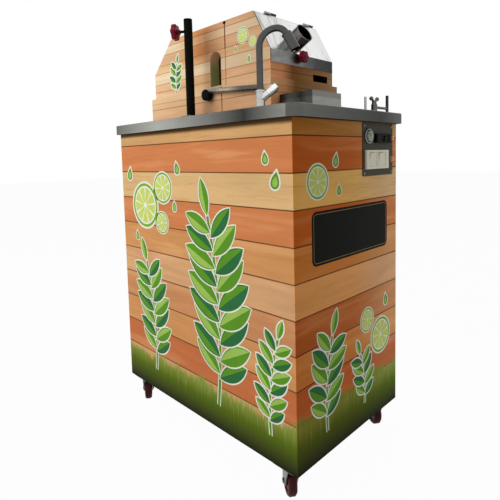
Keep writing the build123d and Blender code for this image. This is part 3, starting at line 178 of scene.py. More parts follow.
# Printed planks, listed from the foot up, with a strip of grass along the foot of the cabinet
cabinetPlanks = {
    "edges": [0.0486 + 0.0862 * k for k in range(12)], "seam": 0.0014, "seamShare": 1.0,
    "order": ["tan", "ochre", "brick", "tan", "clay", "sand", "tan", "rust", "peach", "rust", "ochre"],
    "tones": {"brick": (0.56, 0.17, 0.060), "rust": (0.64, 0.225, 0.082), "tan": (0.64, 0.30, 0.11),
              "clay": (0.60, 0.27, 0.115), "sand": (0.67, 0.37, 0.18), "peach": (0.71, 0.46, 0.21),
              "ochre": (0.63, 0.36, 0.15)},
    # Painted shade on the end: near its corner the boards take a second, darker and more saturated set of tones,
    # blended out along the end
    "endTones": {"brick": (0.60, 0.16, 0.045), "rust": (0.61, 0.158, 0.028), "tan": (0.72, 0.28, 0.07),
                 "clay": (0.54, 0.148, 0.035), "sand": (0.95, 0.50, 0.20), "peach": (1.0, 0.66, 0.22),
                 "ochre": (0.50, 0.23, 0.05)},
    "endBlend": [(-0.244, 1.0), (0.0, 0.7), (0.15, 0.0)],
    "rimShade": {"brown": (0.045, 0.024, 0.008), "share": 0.95, "front": (0.934, 0.945), "end": (0.948, 0.953)},
    "dark": (0.40, 0.125, 0.045), "light": (0.76, 0.46, 0.235), "end": 0.3845, "endGain": 1.25,
    # Painted light and shade on the end: darker near its corner, lighter towards its far edge
    "endShade": [(-0.244, (0.74, 0.61, 0.45)), (0.0, (0.77, 0.67, 0.56)), (0.20, (0.88, 0.91, 1.0))],
    "skin": (0.0, 0.385, 0.2435), "hinge": (0.2438, 0.2440), "steel": (0.30, 0.30, 0.29),
}
casingPlanks = {
    "edges": [0.963, 1.034, 1.052, 1.093, 1.118, 1.154, 1.179, 1.213, 1.238, 1.275],
    "seam": 0.0009, "seamShare": 0.66,
    "order": ["tan", "honey", "peach", "tan", "beige", "honey", "blush", "beige", "blush"],
    "tones": {"tan": (0.68, 0.375, 0.195), "honey": (0.70, 0.415, 0.215), "peach": (0.72, 0.455, 0.255),
              "beige": (0.74, 0.54, 0.34), "blush": (0.66, 0.38, 0.205)},
    # Painted light and shade along the casing's sides: paler and brighter at the left, darker towards the right
    "dark": (0.52, 0.20, 0.09), "light": (0.82, 0.60, 0.38), "shadeGain": 1.32,
    "shade": [(-0.33, (0.88, 0.96, 1.0)), (-0.03, (0.77, 0.78, 0.78)), (0.24, (0.64, 0.63, 0.62))],
    "end": 0.2285, "endGain": 1.8,
    # Painted light and shade on the casing's front: lit near its near edge, then a painted shadow from about its
    # middle on; the first stop leaves the plinth's near face nearly unchanged
    "endShade": [(-0.150, (0.50, 0.50, 0.50)), (-0.147, (0.90, 0.76, 0.66)), (-0.095, (0.84, 0.64, 0.53)),
                 (-0.050, (0.29, 0.21, 0.11)), (0.15, (0.46, 0.44, 0.40))],
    "patch": {"along": [(-0.19, 0.0), (-0.06, 1.0), (0.07, 0.0)], "above": (1.140, 1.185),
              "tint": (0.88, 0.60, 0.42)},
    "skin": (-0.0425, 0.2715, 0.140), "steel": (0.22, 0.22, 0.215),
}
# Grain at three scales: its stretch along, up and from board to board, then the noise's own settings
grainLook = {
    "broad": ((2.6, 24, 7.1), 2.0, 0.5, 0.8), "figure": ((5, 95, 3.7), 4.0, 0.6, 1.2),
    "fine": ((16, 640, 1.3), 3.0, 0.6), "darkVeins": (0.54, 0.70), "darkShare": 0.34,
    "paleBands": (0.52, 0.72), "paleShare": 0.28, "seamEdge": (0.4, 1.8), "seamMost": 0.95,
    "grainTone": (0.55, 0.40, 0.36, 0.14), "worn": ((4, 5.3, 1), 2.0), "seamWear": (0.5, 0.8),
    "inside": (-0.0006, -0.0009), "dents": (26.0, 2.0), "bump": (0.0005, 0.35),
}
grassLook = {
    "foot": 0.095, "top": 0.205, "mean": 0.143, "ragged": 0.070, "edge": (-0.006, 0.012),
    "end": 0.384, "endRise": 0.018, "blade": (0.40, 0.48, 0.15), "blades": (0.60, 0.68),
    "bladeHeights": (0.45, 0.9), "bladeShare": 0.6, "bladeNoise": ((230, 8, 1), 3.0, 0.6),
    "tuftNoise": ((11, 1, 1), 2.0), "greens": (0.74, 0.52),
    "stops": [(0.0, (0.012, 0.015, 0.007)), (0.27, (0.050, 0.066, 0.012)), (0.64, (0.098, 0.150, 0.010)),
              (1.0, (0.240, 0.290, 0.050))],
}
seamBrown = (0.075, 0.026, 0.012)


def plankFinish(name, look):
    finish = Finish(name)
    x, y, z = finish.axes()
    along = x + y  # runs along the face on every upright side
    count = len(look["order"])
    row = finish.profile(z, [(edge, k) for k, edge in enumerate(look["edges"])])
    number = row.floor()
    part = row - number

    def boards(tones):
        stops = [(k / count, tones[tone]) for k, tone in enumerate(look["order"])]
        return finish.ramp((number + 0.5) / count, stops, "CONSTANT")

    wood = boards(look["tones"])
    end = x.above(look["end"] - hair)
    if "endTones" in look:  # painted shade: near the corner the end's boards take a darker, more saturated set of tones
        wood = finish.blend(end * finish.profile(y, look["endBlend"]), wood, boards(look["endTones"]))
    broad, figure, grain = [finish.stretched((along, z, number), *look[key])
                            for key in ("broad", "figure", "fine")]
    base, byBroad, byFigure, byFine = look["grainTone"]
    wood = finish.tint(wood, base + broad * byBroad + figure * byFigure + grain * byFine)
    wood = finish.blend(figure.between(*look["darkVeins"]) * look["darkShare"], wood, look["dark"])
    wood = finish.blend(broad.between(*look["paleBands"]) * look["paleShare"], wood, look["light"])
    edge = part.atMost(1 - part) * ((look["edges"][-1] - look["edges"][0]) / count)
    worn = finish.stretched((along, number, 0.0), *look["worn"])
    least, more = look["seamWear"]
    seam = 1 - edge.between(*[look["seam"] * share for share in look["seamEdge"]])
    seam = seam * (least + worn * more).atMost(look["seamMost"]) * look["seamShare"]
    wood = finish.blend(seam, wood, seamBrown)
    middle, halfLong, halfDeep = look["skin"]
    if "rimShade" in look:  # the cabinet: grass at its foot, shade under the worktop's rim
        wood = grassStrip(finish, wood, along, x, z)
        shade = look["rimShade"]
        under = (z.between(*shade["front"]) * y.below(-halfDeep)).atLeast(z.between(*shade["end"]) * end)
        wood = finish.blend(under * shade["share"], wood, shade["brown"])
    else:  # the casing: a redder patch of boards, and painted light and shade along its sides
        red = finish.profile(x, look["patch"]["along"]) * z.between(*look["patch"]["above"])
        wood = finish.blend(red, wood, look["patch"]["tint"], "MULTIPLY")
        wood = finish.blend(1 - end, wood, finish.drift(x, look["shade"], look["shadeGain"]), "MULTIPLY")
    # painted light and shade across each end face
    wood = finish.blend(end, wood, finish.drift(y, look["endShade"], look["endGain"]), "MULTIPLY")
    over = ((x - middle).size() - halfLong).atLeast(y.size() - halfDeep)
    bare = over.between(*look["inside"])  # unprinted: inner faces, and hinges where there are some
    if "hinge" in look:
        bare = bare.atLeast(y.between(*look["hinge"]))
    wood = finish.blend(bare, wood, finish.tint(look["steel"], 0.7 + broad * 0.6))
    normal = finish.bump(finish.cloud(*look["dents"]) + seam * -0.3, *look["bump"])
    return finish.surface(colour=wood, roughness=0.48 + grain * 0.12, metallic=bare, specular=0.02, normal=normal)


def grassStrip(finish, wood, along, x, z):
    look = grassLook
    blades = finish.stretched((along, z, 0.0), *look["bladeNoise"])
    tufts = finish.stretched((along, 0.0, 0.0), *look["tuftNoise"])
    rise = x.above(look["end"] - hair) * look["endRise"]
    top = look["mean"] + rise + blades * look["ragged"] + tufts * look["ragged"]
    cover = (top - z).between(*look["edge"])
    height = (z - look["foot"]) / (look["top"] - look["foot"])
    darkest, more = look["greens"]
    green = finish.tint(finish.ramp(height, look["stops"]), darkest + blades * more)
    light = blades.between(*look["blades"]) * height.between(*look["bladeHeights"]) * look["bladeShare"]
    return finish.blend(cover, wood, finish.blend(light, green, look["blade"]))


# Bare metal: streaks along one direction, smudges and fine scratches, with zones of painted light and shade on some
# pieces
def metalFinish(name, look):
    finish = Finish(name)
    axes = finish.axes()
    streak = finish.stretched(axes, look["streak"], 3.0, 0.6)
    fine = finish.stretched(axes, [4 * by for by in look["streak"]], 1.0)
    smudge = finish.cloud(look["smudge"], 3.0, 0.6, 0.6)
    depth = look["depth"]
    shade = 1 - depth + (streak + smudge) * depth + fine.between(0.66, 0.74) * (depth * 0.5)
    for axis, start, end, factor in look.get("zones", ()):  # painted light and shade: parts of one piece made lighter and darker
        shade = shade * (1 + axes[axis].between(start, end) * (factor - 1))
    low, high = look["rough"]
    rough = low + smudge.between(0.35, 0.7) * (high - low) + streak * 0.05
    normal = finish.bump(streak + fine * 0.3 + smudge * look["wave"], look["bump"], 0.6)
    return finish.steel(look["tone"], shade, rough, normal)


# Paint on metal: orange peel, soft dirt and a few bare scuffs
def paintFinish(name, look):
    finish = Finish(name)
    peel = finish.cloud(look["peel"], 2.0, 0.5)
    dirt = finish.cloud(look["dirt"], 4.0, 0.65, 0.8)
    scuff = finish.cloud(look["dirt"] * 5, 3.0, 0.7, 1.5).between(0.68, 0.74)
    colour = finish.tint(look["tone"], 0.78 + dirt * 0.44)
    colour = finish.blend(scuff * look["scuff"], colour, look["bare"])
    metallic = look["metallic"]
    if "foot" in look:  # bare metal below a level
        foot = finish.axes()[2].between(*look["foot"])
        colour = finish.blend(foot, colour, look["bare"])
        metallic = foot
    rough = look["rough"] + dirt * 0.18 - scuff * 0.1
    normal = finish.bump(peel + scuff * -0.4, look["bump"], 0.5)
    return finish.surface(colour=colour, roughness=rough, metallic=metallic, specular=look["specular"], normal=normal)


# Moulded plastic or rubber: faint speckle and handling marks
def mouldedFinish(name, look):
    finish = Finish(name)
    speck = finish.cloud(look["speck"], 2.0, 0.6)
    marks = finish.cloud(look["marks"], 3.0, 0.6, 0.5)
    colour = finish.tint(look["tone"], 0.84 + speck * 0.14 + marks * 0.18)
    if "upper" in look:  # another colour above a level
        low, high, upper = look["upper"]
        colour = finish.blend(finish.axes()[2].between(low, high), colour, upper)
    rough = look["rough"] + marks.between(0.45, 0.75) * 0.16
    normal = finish.bump(speck, look["bump"], 0.5)
    return finish.surface(colour=colour, roughness=rough, coat=look["coat"], specular=look["specular"], normal=normal)


# Printed film: flat ink with a slight drift of tone
def inkFinish(name, look):
    finish = Finish(name)
    drift, dots = finish.cloud(*look["drift"]), finish.cloud(*look["dots"])
    colour = finish.tint(look["tone"], 0.8 + drift * 0.32 + dots * 0.08)
    normal = finish.bump(drift, *look["bump"])
    return finish.surface(colour=colour, roughness=0.44 + drift * 0.1, specular=look["specular"], normal=normal)


def dress(finish, *names):
    for name in names:
        mesh = nodes[name].data
        mesh.materials.clear()
        mesh.materials.append(finish.material)


# Hood: polished slope with streaks down it, a rougher band below its crease, painted reflections that lighten and
# darken both across the hood, and a grey feed pipe with painted dark flanks
hoodLook = {"hue": (1.0, 1.0, 0.985), "mottle": (34.0, 4.0, 0.68, 1.0), "streak": ((7, 42, 7), 3.0, 0.55, 0.5),
            "crease": (1.1466, 1.1454), "streaks": 0.40, "marks": 0.18, "bump": (0.0012, 0.6),
            "slopeTones": [(-0.138, 0.71), (0.04, 0.84), (0.138, 0.74)],
            "bandTones": [(-0.138, 0.21), (-0.02, 0.14), (0.05, 0.05), (0.138, 0.025)],
            "pipe": 0.19, "pipeFlank": 0.035, "flankReach": (0.0135, 0.02484), "pipeStart": (0.0012, 0.0018),
            "pipeFoot": (0.2138, -0.026, 1.1777), "pipeAxis": (0.8813, 0, 0.4727),
            "pipeAcross": (0.427, 0.427, -0.797)}


def hoodFinish(name, look):
    finish = Finish(name)
    x, y, z = finish.axes()
    mottle = finish.cloud(*look["mottle"])
    streak = finish.stretched((x, y, z), *look["streak"])
    worn = streak.between(0.48, 0.72) * look["streaks"] + mottle.between(0.52, 0.74) * look["marks"]
    # painted reflections: the slope and the band below the crease are toned across the hood
    slopeReflectionAndStreaks = finish.profile(y, look["slopeTones"]) - worn
    bandReflectionAndMottle = finish.profile(y, look["bandTones"]) * (0.3 + mottle * 1.4)
    low = z.between(*look["crease"])
    tone = slopeReflectionAndStreaks + (bandReflectionAndMottle - slopeReflectionAndStreaks) * low
    # painted shade: the feed pipe darkens towards its flanks
    dx, dy, dz = [axis - start for axis, start in zip((x, y, z), look["pipeFoot"])]
    pipe = (dx * look["pipeAxis"][0] + dz * look["pipeAxis"][2]).between(*look["pipeStart"])
    acrossX, acrossY, acrossZ = look["pipeAcross"]
    flankShadeMask = (dx * acrossX + dy * acrossY + dz * acrossZ).size().between(*look["flankReach"])
    pipeToneWithFlankShade = (look["pipe"] - flankShadeMask * (look["pipe"] - look["pipeFlank"])) * (0.65 + mottle * 0.7)
    tone = tone + (pipeToneWithFlankShade - tone) * pipe
    rough = 0.10 + mottle * 0.12 + low * 0.14
    normal = finish.bump(mottle + streak * 0.5, *look["bump"])
    return finish.steel(look["hue"], tone, rough, normal)


# Worktop: sheet steel whose rim darkens and lightens along its length and whose top is lighter, all painted
# reflection
worktopLook = {
    "hue": (1.0, 1.0, 0.93), "brushed": ((6, 6, 240), 3.0, 0.6), "stains": (30.0, 4.0, 0.65, 0.8),
    "bump": (0.0002, 0.6), "top": 0.25, "topLevel": 0.982, "front": -0.2525,
    # Painted reflection: the rim's tone along the front and along the ends, and a lighter tone for the top
    "frontTones": [(-0.40, 0.13), (-0.14, 0.43), (0.04, 0.26), (0.24, 0.04), (0.40, 0.30)],
    "endTones": [(-0.253, 0.11), (0.13, 0.022), (0.253, 0.08)],
}


def worktopFinish(name, look):
    finish = Finish(name)
    x, y, z = finish.axes()
    # painted reflection drawn along the rim, lighter on the top
    front = y.below(look["front"])
    ends = finish.profile(y, look["endTones"])
    tone = ends + (finish.profile(x, look["frontTones"]) - ends) * front
    tone = tone + (look["top"] - tone) * z.above(look["topLevel"])
    brushed = finish.stretched((x, y, z), *look["brushed"])
    stains = finish.cloud(*look["stains"])
    tone = tone * (0.62 + brushed * 0.28 + stains * 0.48)
    rough = 0.22 + stains.between(0.35, 0.7) * 0.16 + brushed * 0.05
    normal = finish.bump(brushed + stains * 0.6, *look["bump"])
    return finish.steel(look["hue"], tone, rough, normal)


# Spout and tap: plated pipe with a painted dark outline, darkest in the plane of its bend and lighter away from it,
# with a lighter pillar and side branch
pipeLook = {"hue": (1.0, 1.0, 0.96), "smudge": (90.0, 3.0, 0.6, 0.6), "wear": (600.0, 2.0), "bump": (0.0003, 0.5),
            "axis": (0.248, -0.200), "heading": 38, "edge": 0.026, "side": 0.085, "flankReach": (0.0021, 0.00756),
            "pillar": 0.0114, "pillarTop": 1.030, "pillarTone": 0.50,
            "branchFoot": 0.990, "branchTop": 1.059, "branch": 0.75}


def pipeFinish(name, look):
    finish = Finish(name)
    x, y, z = finish.axes()
    turn = math.radians(look["heading"])
    dx, dy = x - look["axis"][0], y - look["axis"][1]
    off = (dx * math.sin(turn) - dy * math.cos(turn)).size()
    # painted shade: dark where the pipe lies in the plane of its bend, lighter away from it
    tone = look["edge"] + off.between(*look["flankReach"]) * (look["side"] - look["edge"])
    tone = tone + (look["pillarTone"] - tone) * z.below(look["pillarTop"])
    reach = (dx ** 2.0 + dy ** 2.0) ** 0.5
    branch = reach.above(look["pillar"]) * z.above(look["branchFoot"]) * z.below(look["branchTop"])
    tone = tone + (look["branch"] - tone) * branch
    smudge, wear = finish.cloud(*look["smudge"]), finish.cloud(*look["wear"])
    tone = tone * (0.66 + smudge * 0.5 + wear * 0.18)
    normal = finish.bump(smudge + wear * 0.3, *look["bump"])
    rough = 0.14 + smudge * 0.18
    return finish.steel(look["hue"], tone, rough, normal)


# Looks of the metals, paints and plastics
plated = {"streak": (40, 40, 40), "rough": (0.10, 0.26), "wave": 0.6}
metalLooks = {
    # Zones of painted shade on the tray's upper band and one wall, painted light and shade on the rinse tap's two
    # pillars, painted shade on the lever's far end
    "traySteel": {"tone": (0.225, 0.228, 0.207), "streak": (30, 30, 120), "smudge": 26, "depth": 0.36,
                  "rough": (0.20, 0.36), "zones": [(2, 1.010, 1.013, 0.70), (1, -0.1200, -0.1209, 0.36)]},
    "sheetSteel": {"tone": (0.31, 0.315, 0.31), "streak": (6, 240, 240), "smudge": 8, "depth": 0.26,
                   "rough": (0.34, 0.52)},
    "spoutSteel": {**plated, "tone": (0.18, 0.18, 0.172), "smudge": 30, "depth": 0.34},
    "tapChrome": {**plated, "tone": (0.92, 0.92, 0.90), "smudge": 40, "depth": 0.36},
    "rinseChrome": {**plated, "tone": (0.11, 0.112, 0.105), "smudge": 60, "depth": 0.40, "bump": 0.0002,
                    "zones": [(1, 0.135, 0.125, 3.6), (1, 0.215, 0.228, 0.4)]},
    "leverZinc": {"tone": (0.46, 0.42, 0.36), "streak": (30, 60, 60), "smudge": 60, "depth": 0.46,
                  "rough": (0.22, 0.42), "zones": [(0, 0.08, 0.15, 0.26)]},
    "zincPlate": {"tone": (0.18, 0.178, 0.168), "streak": (60, 60, 60), "smudge": 45, "depth": 0.4,
                  "rough": (0.28, 0.5)},
    "machinedSteel": {"tone": (0.50, 0.50, 0.49), "streak": (90, 420, 90), "smudge": 20, "depth": 0.3,
                      "rough": (0.22, 0.42), "wave": 0.4},
    "bronze": {"tone": (0.52, 0.33, 0.12), "streak": (60, 200, 60), "smudge": 25, "depth": 0.3,
               "rough": (0.25, 0.42), "bump": 0.0002, "wave": 0.4},
}
paintLooks = {
    "postBlack": {"tone": (0.004, 0.004, 0.003), "peel": 420, "dirt": 20, "rough": 0.55, "scuff": 0.02,
                  "foot": (0.9888, 0.9884), "bare": (0.36, 0.36, 0.34), "bump": 0.0003, "specular": 0.04},
    "frameGrey": {"tone": (0.10, 0.105, 0.11), "peel": 300, "dirt": 10, "rough": 0.42, "scuff": 0.5,
                  "bare": (0.20, 0.17, 0.14), "bump": 0.0004},
    "crusherGreen": {"tone": (0.16, 0.26, 0.11), "peel": 180, "dirt": 16, "rough": 0.38, "scuff": 0.5,
                     "bare": (0.16, 0.15, 0.13), "bump": 0.0008},
    "castIron": {"tone": (0.06, 0.06, 0.062), "peel": 260, "dirt": 22, "rough": 0.5, "scuff": 0.4,
                 "bare": (0.22, 0.21, 0.20), "bump": 0.001, "metallic": 0.6},
    "controlGrey": {"tone": (0.060, 0.056, 0.038), "peel": 520, "dirt": 26, "rough": 0.46, "scuff": 0.25,
                    "bare": (0.14, 0.13, 0.12), "bump": 0.0003, "specular": 0.10},
}
plasticLooks = {
    "knobMaroon": {"tone": (0.20, 0.006, 0.022), "speck": 700, "marks": 60, "rough": 0.30},
    "deviceBlack": {"tone": (0.006, 0.006, 0.005), "speck": 900, "marks": 50, "rough": 0.46, "bump": 0.0002,
                    "specular": 0.04},
    "deviceWhite": {"tone": (0.82, 0.79, 0.63), "speck": 800, "marks": 40, "rough": 0.36},
    "buttonPale": {"tone": (0.34, 0.38, 0.30), "speck": 700, "marks": 60, "rough": 0.30, "coat": 0.1},
    "buttonGreen": {"tone": (0.10, 0.26, 0.08), "speck": 700, "marks": 60, "rough": 0.26, "coat": 0.2},
    "lampAmber": {"tone": (0.74, 0.36, 0.05), "speck": 500, "marks": 120, "rough": 0.14, "bump": 0.0003, "coat": 0.6},
    "archBrown": {"tone": (0.16, 0.055, 0.022), "speck": 500, "marks": 40, "rough": 0.45, "bump": 0.0002},
    "archOlive": {"tone": (0.45, 0.43, 0.20), "speck": 500, "marks": 60, "rough": 0.5, "bump": 0.0002,
                  "upper": (1.130, 1.165, (0.90, 0.55, 0.34))},
    "beltRubber": {"tone": (0.020, 0.019, 0.018), "speck": 600, "marks": 40, "rough": 0.66, "bump": 0.0005},
}
inkLooks = {
    "inkPaper": {"tone": (0.80, 0.80, 0.70)},
    "inkDeep": {"tone": (0.030, 0.150, 0.050)},
    "inkMid": {"tone": (0.105, 0.290, 0.022)},
    "inkPale": {"tone": (0.330, 0.520, 0.100)},
    "inkRind": {"tone": (0.190, 0.400, 0.030)},
    "inkFlesh": {"tone": (0.560, 0.640, 0.140)},
    "inkBlack": {"tone": (0.005, 0.005, 0.004)},
    "inkGold": {"tone": (0.34, 0.22, 0.07)},
}
kinds = [  # how a kind of finish is made, what its looks share, and the looks
    (metalFinish, {"bump": 0.0003, "wave": 0.8}, metalLooks),
    (paintFinish, {"metallic": 0.0, "specular": 0.3}, paintLooks),
    (mouldedFinish, {"bump": 0.0001, "coat": 0.0, "specular": 0.12}, plasticLooks),
    (inkFinish, {"drift": (14.0, 2.0, 0.6), "dots": (900.0, 0.0), "bump": (0.0004, 0.3), "specular": 0.03}, inkLooks),
    (plankFinish, grainLook, {"cabinetPlanks": cabinetPlanks, "casingPlanks": casingPlanks}),
    (hoodFinish, {}, {"hoodSteel": hoodLook}),
    (worktopFinish, {}, {"worktopSteel": worktopLook}),
    (pipeFinish, {}, {"pipeChrome": pipeLook}),
]
finishes = {}
for makeFinish, shared, looks in kinds:
    for name, look in looks.items():
        finishes[name] = makeFinish(name, {**shared, **look})

# Caster wheels: dark maroon, the tread told from the centre by its distance from the axle
wheelLook = {"turn": -35, "rim": (0.0259, 0.0265), "hub": (0.095, 0.014, 0.018), "tread": (0.062, 0.012, 0.014),
             "dust": (70.0, 3.0, 0.65), "dustTone": (0.14, 0.07, 0.06), "dustShare": 0.12,
             "grain": (900.0, 1.0), "bump": (0.0002, 0.4)}


def wheelFinish(name, centre):
    finish, look = Finish(name), wheelLook
    x, y, z = finish.axes()
    turn = math.radians(look["turn"])
    along = (x - centre.x) * math.cos(turn) + (y - centre.y) * math.sin(turn)
    reach = (along ** 2.0 + (z - centre.z) ** 2.0) ** 0.5
    tread = reach.between(*look["rim"])
    dust = finish.cloud(*look["dust"])
    colour = finish.blend(tread, look["hub"], look["tread"])
    colour = finish.blend(dust.between(0.5, 0.8) * look["dustShare"], colour, look["dustTone"])
    normal = finish.bump(finish.cloud(*look["grain"]), *look["bump"])
    return finish.surface(colour=colour, roughness=0.34 + tread * 0.2 + dust * 0.15, specular=0.1, normal=normal)


nodeLooks = {  # the nodes that wear each finish
    "cabinetPlanks": "front_panel operator_end_panel rear_end_panel service_door",
    "casingPlanks": "near_side_panel far_side_panel casing_plinth casing_front_panel",
    "worktopSteel": "worktop",
    "sheetSteel": "casing_cover juice_pan juice_tank bagasse_chute juice_pipes",
    "traySteel": "drip_tray drip_grille",
    "hoodSteel": "hood",
    "pipeChrome": "spout tap_body",
    "tapChrome": "tap_handle",
    "rinseChrome": "rinse_tap_body rinse_tap_handle",
    "postBlack": "post",
    "zincPlate": "caster_plates panel_screws door_latch",
    "leverZinc": "hand_lever",
    "knobMaroon": "hood_knob post_knob",
    "controlGrey": "control_plate",
    "deviceBlack": "breaker_body breaker_toggle cable_gland",
    "deviceWhite": "switch_plate rocker_left rocker_right",
    "buttonPale": "push_button",
    "lampAmber": "indicator_lamps",
    "frameGrey": "base_frame",
    "crusherGreen": "crusher_frame gearmotor juice_pump",
    "bronze": "roller_bushes",
    "machinedSteel": "top_roller feed_roller exit_roller top_gear feed_gear exit_gear",
    "castIron": "flywheel drive_pulley",
    "beltRubber": "drive_belt",
}
for name, dressed in nodeLooks.items():
    dress(finishes[name], *dressed.split())
corners = ("near_right", "near_left", "far_right", "far_left")
for corner in corners:
    low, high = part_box("caster_wheel_" + corner)
    dress(wheelFinish("wheel_" + corner, (low + high) / 2), "caster_wheel_" + corner)
    dress(finishes["zincPlate"], "caster_fork_" + corner)
print("finishes on the nodes:", len(finishes) + len(corners))


# Mesh helpers
def at(*spot):
    return Matrix.Translation(spot)


def spun(angle):  # about Z
    return Matrix.Rotation(angle, 4, "Z")


def facing(direction, origin=(0, 0, 0)):  # local Z runs along the direction
    turn = Vector(direction).to_track_quat("Z", "Y").to_matrix().to_4x4()
    return at(*origin) @ turn


def onFace(right, out, origin):  # local X to the right, local Z out of the face
    right, out = Vector(right), Vector(out)
    turn = Matrix((right, out.cross(right), out)).transposed().to_4x4()
    return at(*origin) @ turn


def meshFrom(name, bm):
    mesh = bpy.data.meshes.new(name)
    bm.to_mesh(mesh)
    bm.free()
    return mesh


def linked(name, data):
    thing = bpy.data.objects.new(name, data)
    bpy.context.scene.collection.objects.link(thing)
    return thing


def newPiece(name, bm, body, slotName, *finishNames, sharp=40):
    mesh = meshFrom(name, bm)
    for finishName in finishNames:
        mesh.materials.append(finishes[finishName].material)
    mesh.shade_smooth()
    mesh.set_sharp_from_angle(angle=math.radians(sharp))
    piece = linked(name, mesh)
    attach(piece, body)
    return piece


def putInto(whole, part, matrix=Matrix(), finishIndex=0):
    part.transform(matrix)
    for face in part.faces:
        face.material_index = finishIndex
    bmesh.ops.recalc_face_normals(part, faces=part.faces)
    scrap = meshFrom("scrap", part)
    whole.from_mesh(scrap)
    bpy.data.meshes.remove(scrap)


def gathered(*parts):  # one mesh from parts, each a mesh, its place and its finish
    whole = bmesh.new()
    for part in parts:
        putInto(whole, *part)
    return whole


def turned(profile, steps=32):  # profile of (radius, height), spun round Z
    bm = bmesh.new()
    spots = [bm.verts.new((radius, 0, height)) for radius, height in profile]
    lines = [bm.edges.new(pair) for pair in zip(spots, spots[1:])]
    bmesh.ops.spin(bm, geom=spots + lines, axis=(0, 0, 1), angle=2 * math.pi, steps=steps, use_merge=True)
    bmesh.ops.remove_doubles(bm, verts=bm.verts, dist=1e-6)
    return bm


def hoop(ringRadius, wireRadius, steps=40, sides=10):
    bm = bmesh.new()
    stand = at(ringRadius, 0, 0) @ Matrix.Rotation(math.pi / 2, 4, "X")
    bmesh.ops.create_circle(bm, segments=sides, radius=wireRadius, matrix=stand)
    ring = bm.verts[:] + bm.edges[:]
    bmesh.ops.spin(bm, geom=ring, axis=(0, 0, 1), angle=2 * math.pi, steps=steps, use_merge=True)
    bmesh.ops.remove_doubles(bm, verts=bm.verts, dist=1e-6)
    return bm


def domed(radius, height, skirt, curve, steps=32):  # a turned head, its curve in shares of radius and height
    return turned([(0, -skirt), (radius, -skirt)] + [(radius * out, height * up) for out, up in curve], steps)


def vertsOf(items):
    return [item for item in items if isinstance(item, bmesh.types.BMVert)]


def raised(bm, thickness):  # gives flat faces a thickness along Z
    made = bmesh.ops.extrude_face_region(bm, geom=bm.faces[:])
    bmesh.ops.translate(bm, vec=(0, 0, thickness), verts=vertsOf(made["geom"]))
    return bm


def roundedBlock(size, edge, segments=2):
    bm = bmesh.new()
    bmesh.ops.create_cube(bm, size=1.0)
    bmesh.ops.scale(bm, vec=size, verts=bm.verts)
    bmesh.ops.bevel(bm, geom=bm.edges[:], offset=edge, affect="EDGES", segments=segments, profile=0.5, material=-1)
    return bm


def roundedPlate(width, height, corner, thickness):
    bm = bmesh.new()
    bmesh.ops.create_grid(bm, x_segments=1, y_segments=1, size=0.5)
    bmesh.ops.scale(bm, vec=(width, height, 1), verts=bm.verts)
    bmesh.ops.bevel(bm, geom=bm.verts[:], offset=corner, affect="VERTICES", segments=6, profile=0.5, material=-1)
    return raised(bm, thickness)


def hexNut(radius, thickness, chamfer):
    bm = bmesh.new()
    bmesh.ops.create_circle(bm, cap_ends=True, segments=6, radius=radius)
    raised(bm, thickness)
    bmesh.ops.bevel(bm, geom=bm.edges[:], offset=chamfer, affect="EDGES", segments=2, profile=0.5, material=-1)
    return bm


# Star knobs with a moulded hub and a black threaded stud
knobLook = {"lobes": 6, "depth": 0.16, "round": 0.0035, "segments": 96, "star": 0.015,
            "studRadius": 0.004, "threadPitch": 0.00125, "threadDepth": 0.0005, "threadSteps": 24,
            "boss": [(0, -0.001), (0.72, -0.001), (0.72, 0.0006), (0.5, 0.0016), (0, 0.002)],
            "collar": [(0, 0.001), (1, 0.001), (1, 0.0005)], "collarFoot": 0.86}


def starKnob(radius, thickness):
    bm = bmesh.new()
    bmesh.ops.create_circle(bm, cap_ends=True, segments=knobLook["segments"], radius=radius)
    for vert in bm.verts:
        turn = math.atan2(vert.co.y, vert.co.x)
        vert.co *= 1 - knobLook["depth"] * (0.5 - 0.5 * math.cos(knobLook["lobes"] * turn))
    raised(bm, thickness)
    rims = [edge for edge in bm.edges if abs(edge.verts[0].co.z - edge.verts[1].co.z) < 1e-6]
    bmesh.ops.bevel(bm, geom=rims, offset=knobLook["round"], affect="EDGES", segments=4, profile=0.5, material=-1)
    return bm


def knobPiece(name, body, node, look):
    look = {**knobLook, **look}
    hub, star, neck, stud, place = [look[key] for key in ("hub", "star", "neck", "stud", "place")]
    boss = [(hub * out, star + rise) for out, rise in look["boss"]]
    collar = [(hub * out, rise) for out, rise in look["collar"]]
    collar += [(hub * look["collarFoot"], -neck), (0, -neck)]
    pitch, crest = look["threadPitch"], look["studRadius"]
    root = crest - look["threadDepth"]
    thread = [(0, -stud)]
    for k in range(int((stud - neck) / pitch)):
        foot = -stud + k * pitch
        thread += [(root, foot), (crest, foot + pitch / 2)]
    thread += [(root, -neck), (0, -neck)]
    knob = gathered((starKnob(look["radius"], star), place), (turned(boss), place), (turned(collar), place),
                    (turned(thread, look["threadSteps"]), place, 1))
    piece = newPiece(name, knob, body, "knob", "knobMaroon", "postBlack", sharp=50)
    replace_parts(piece, node)


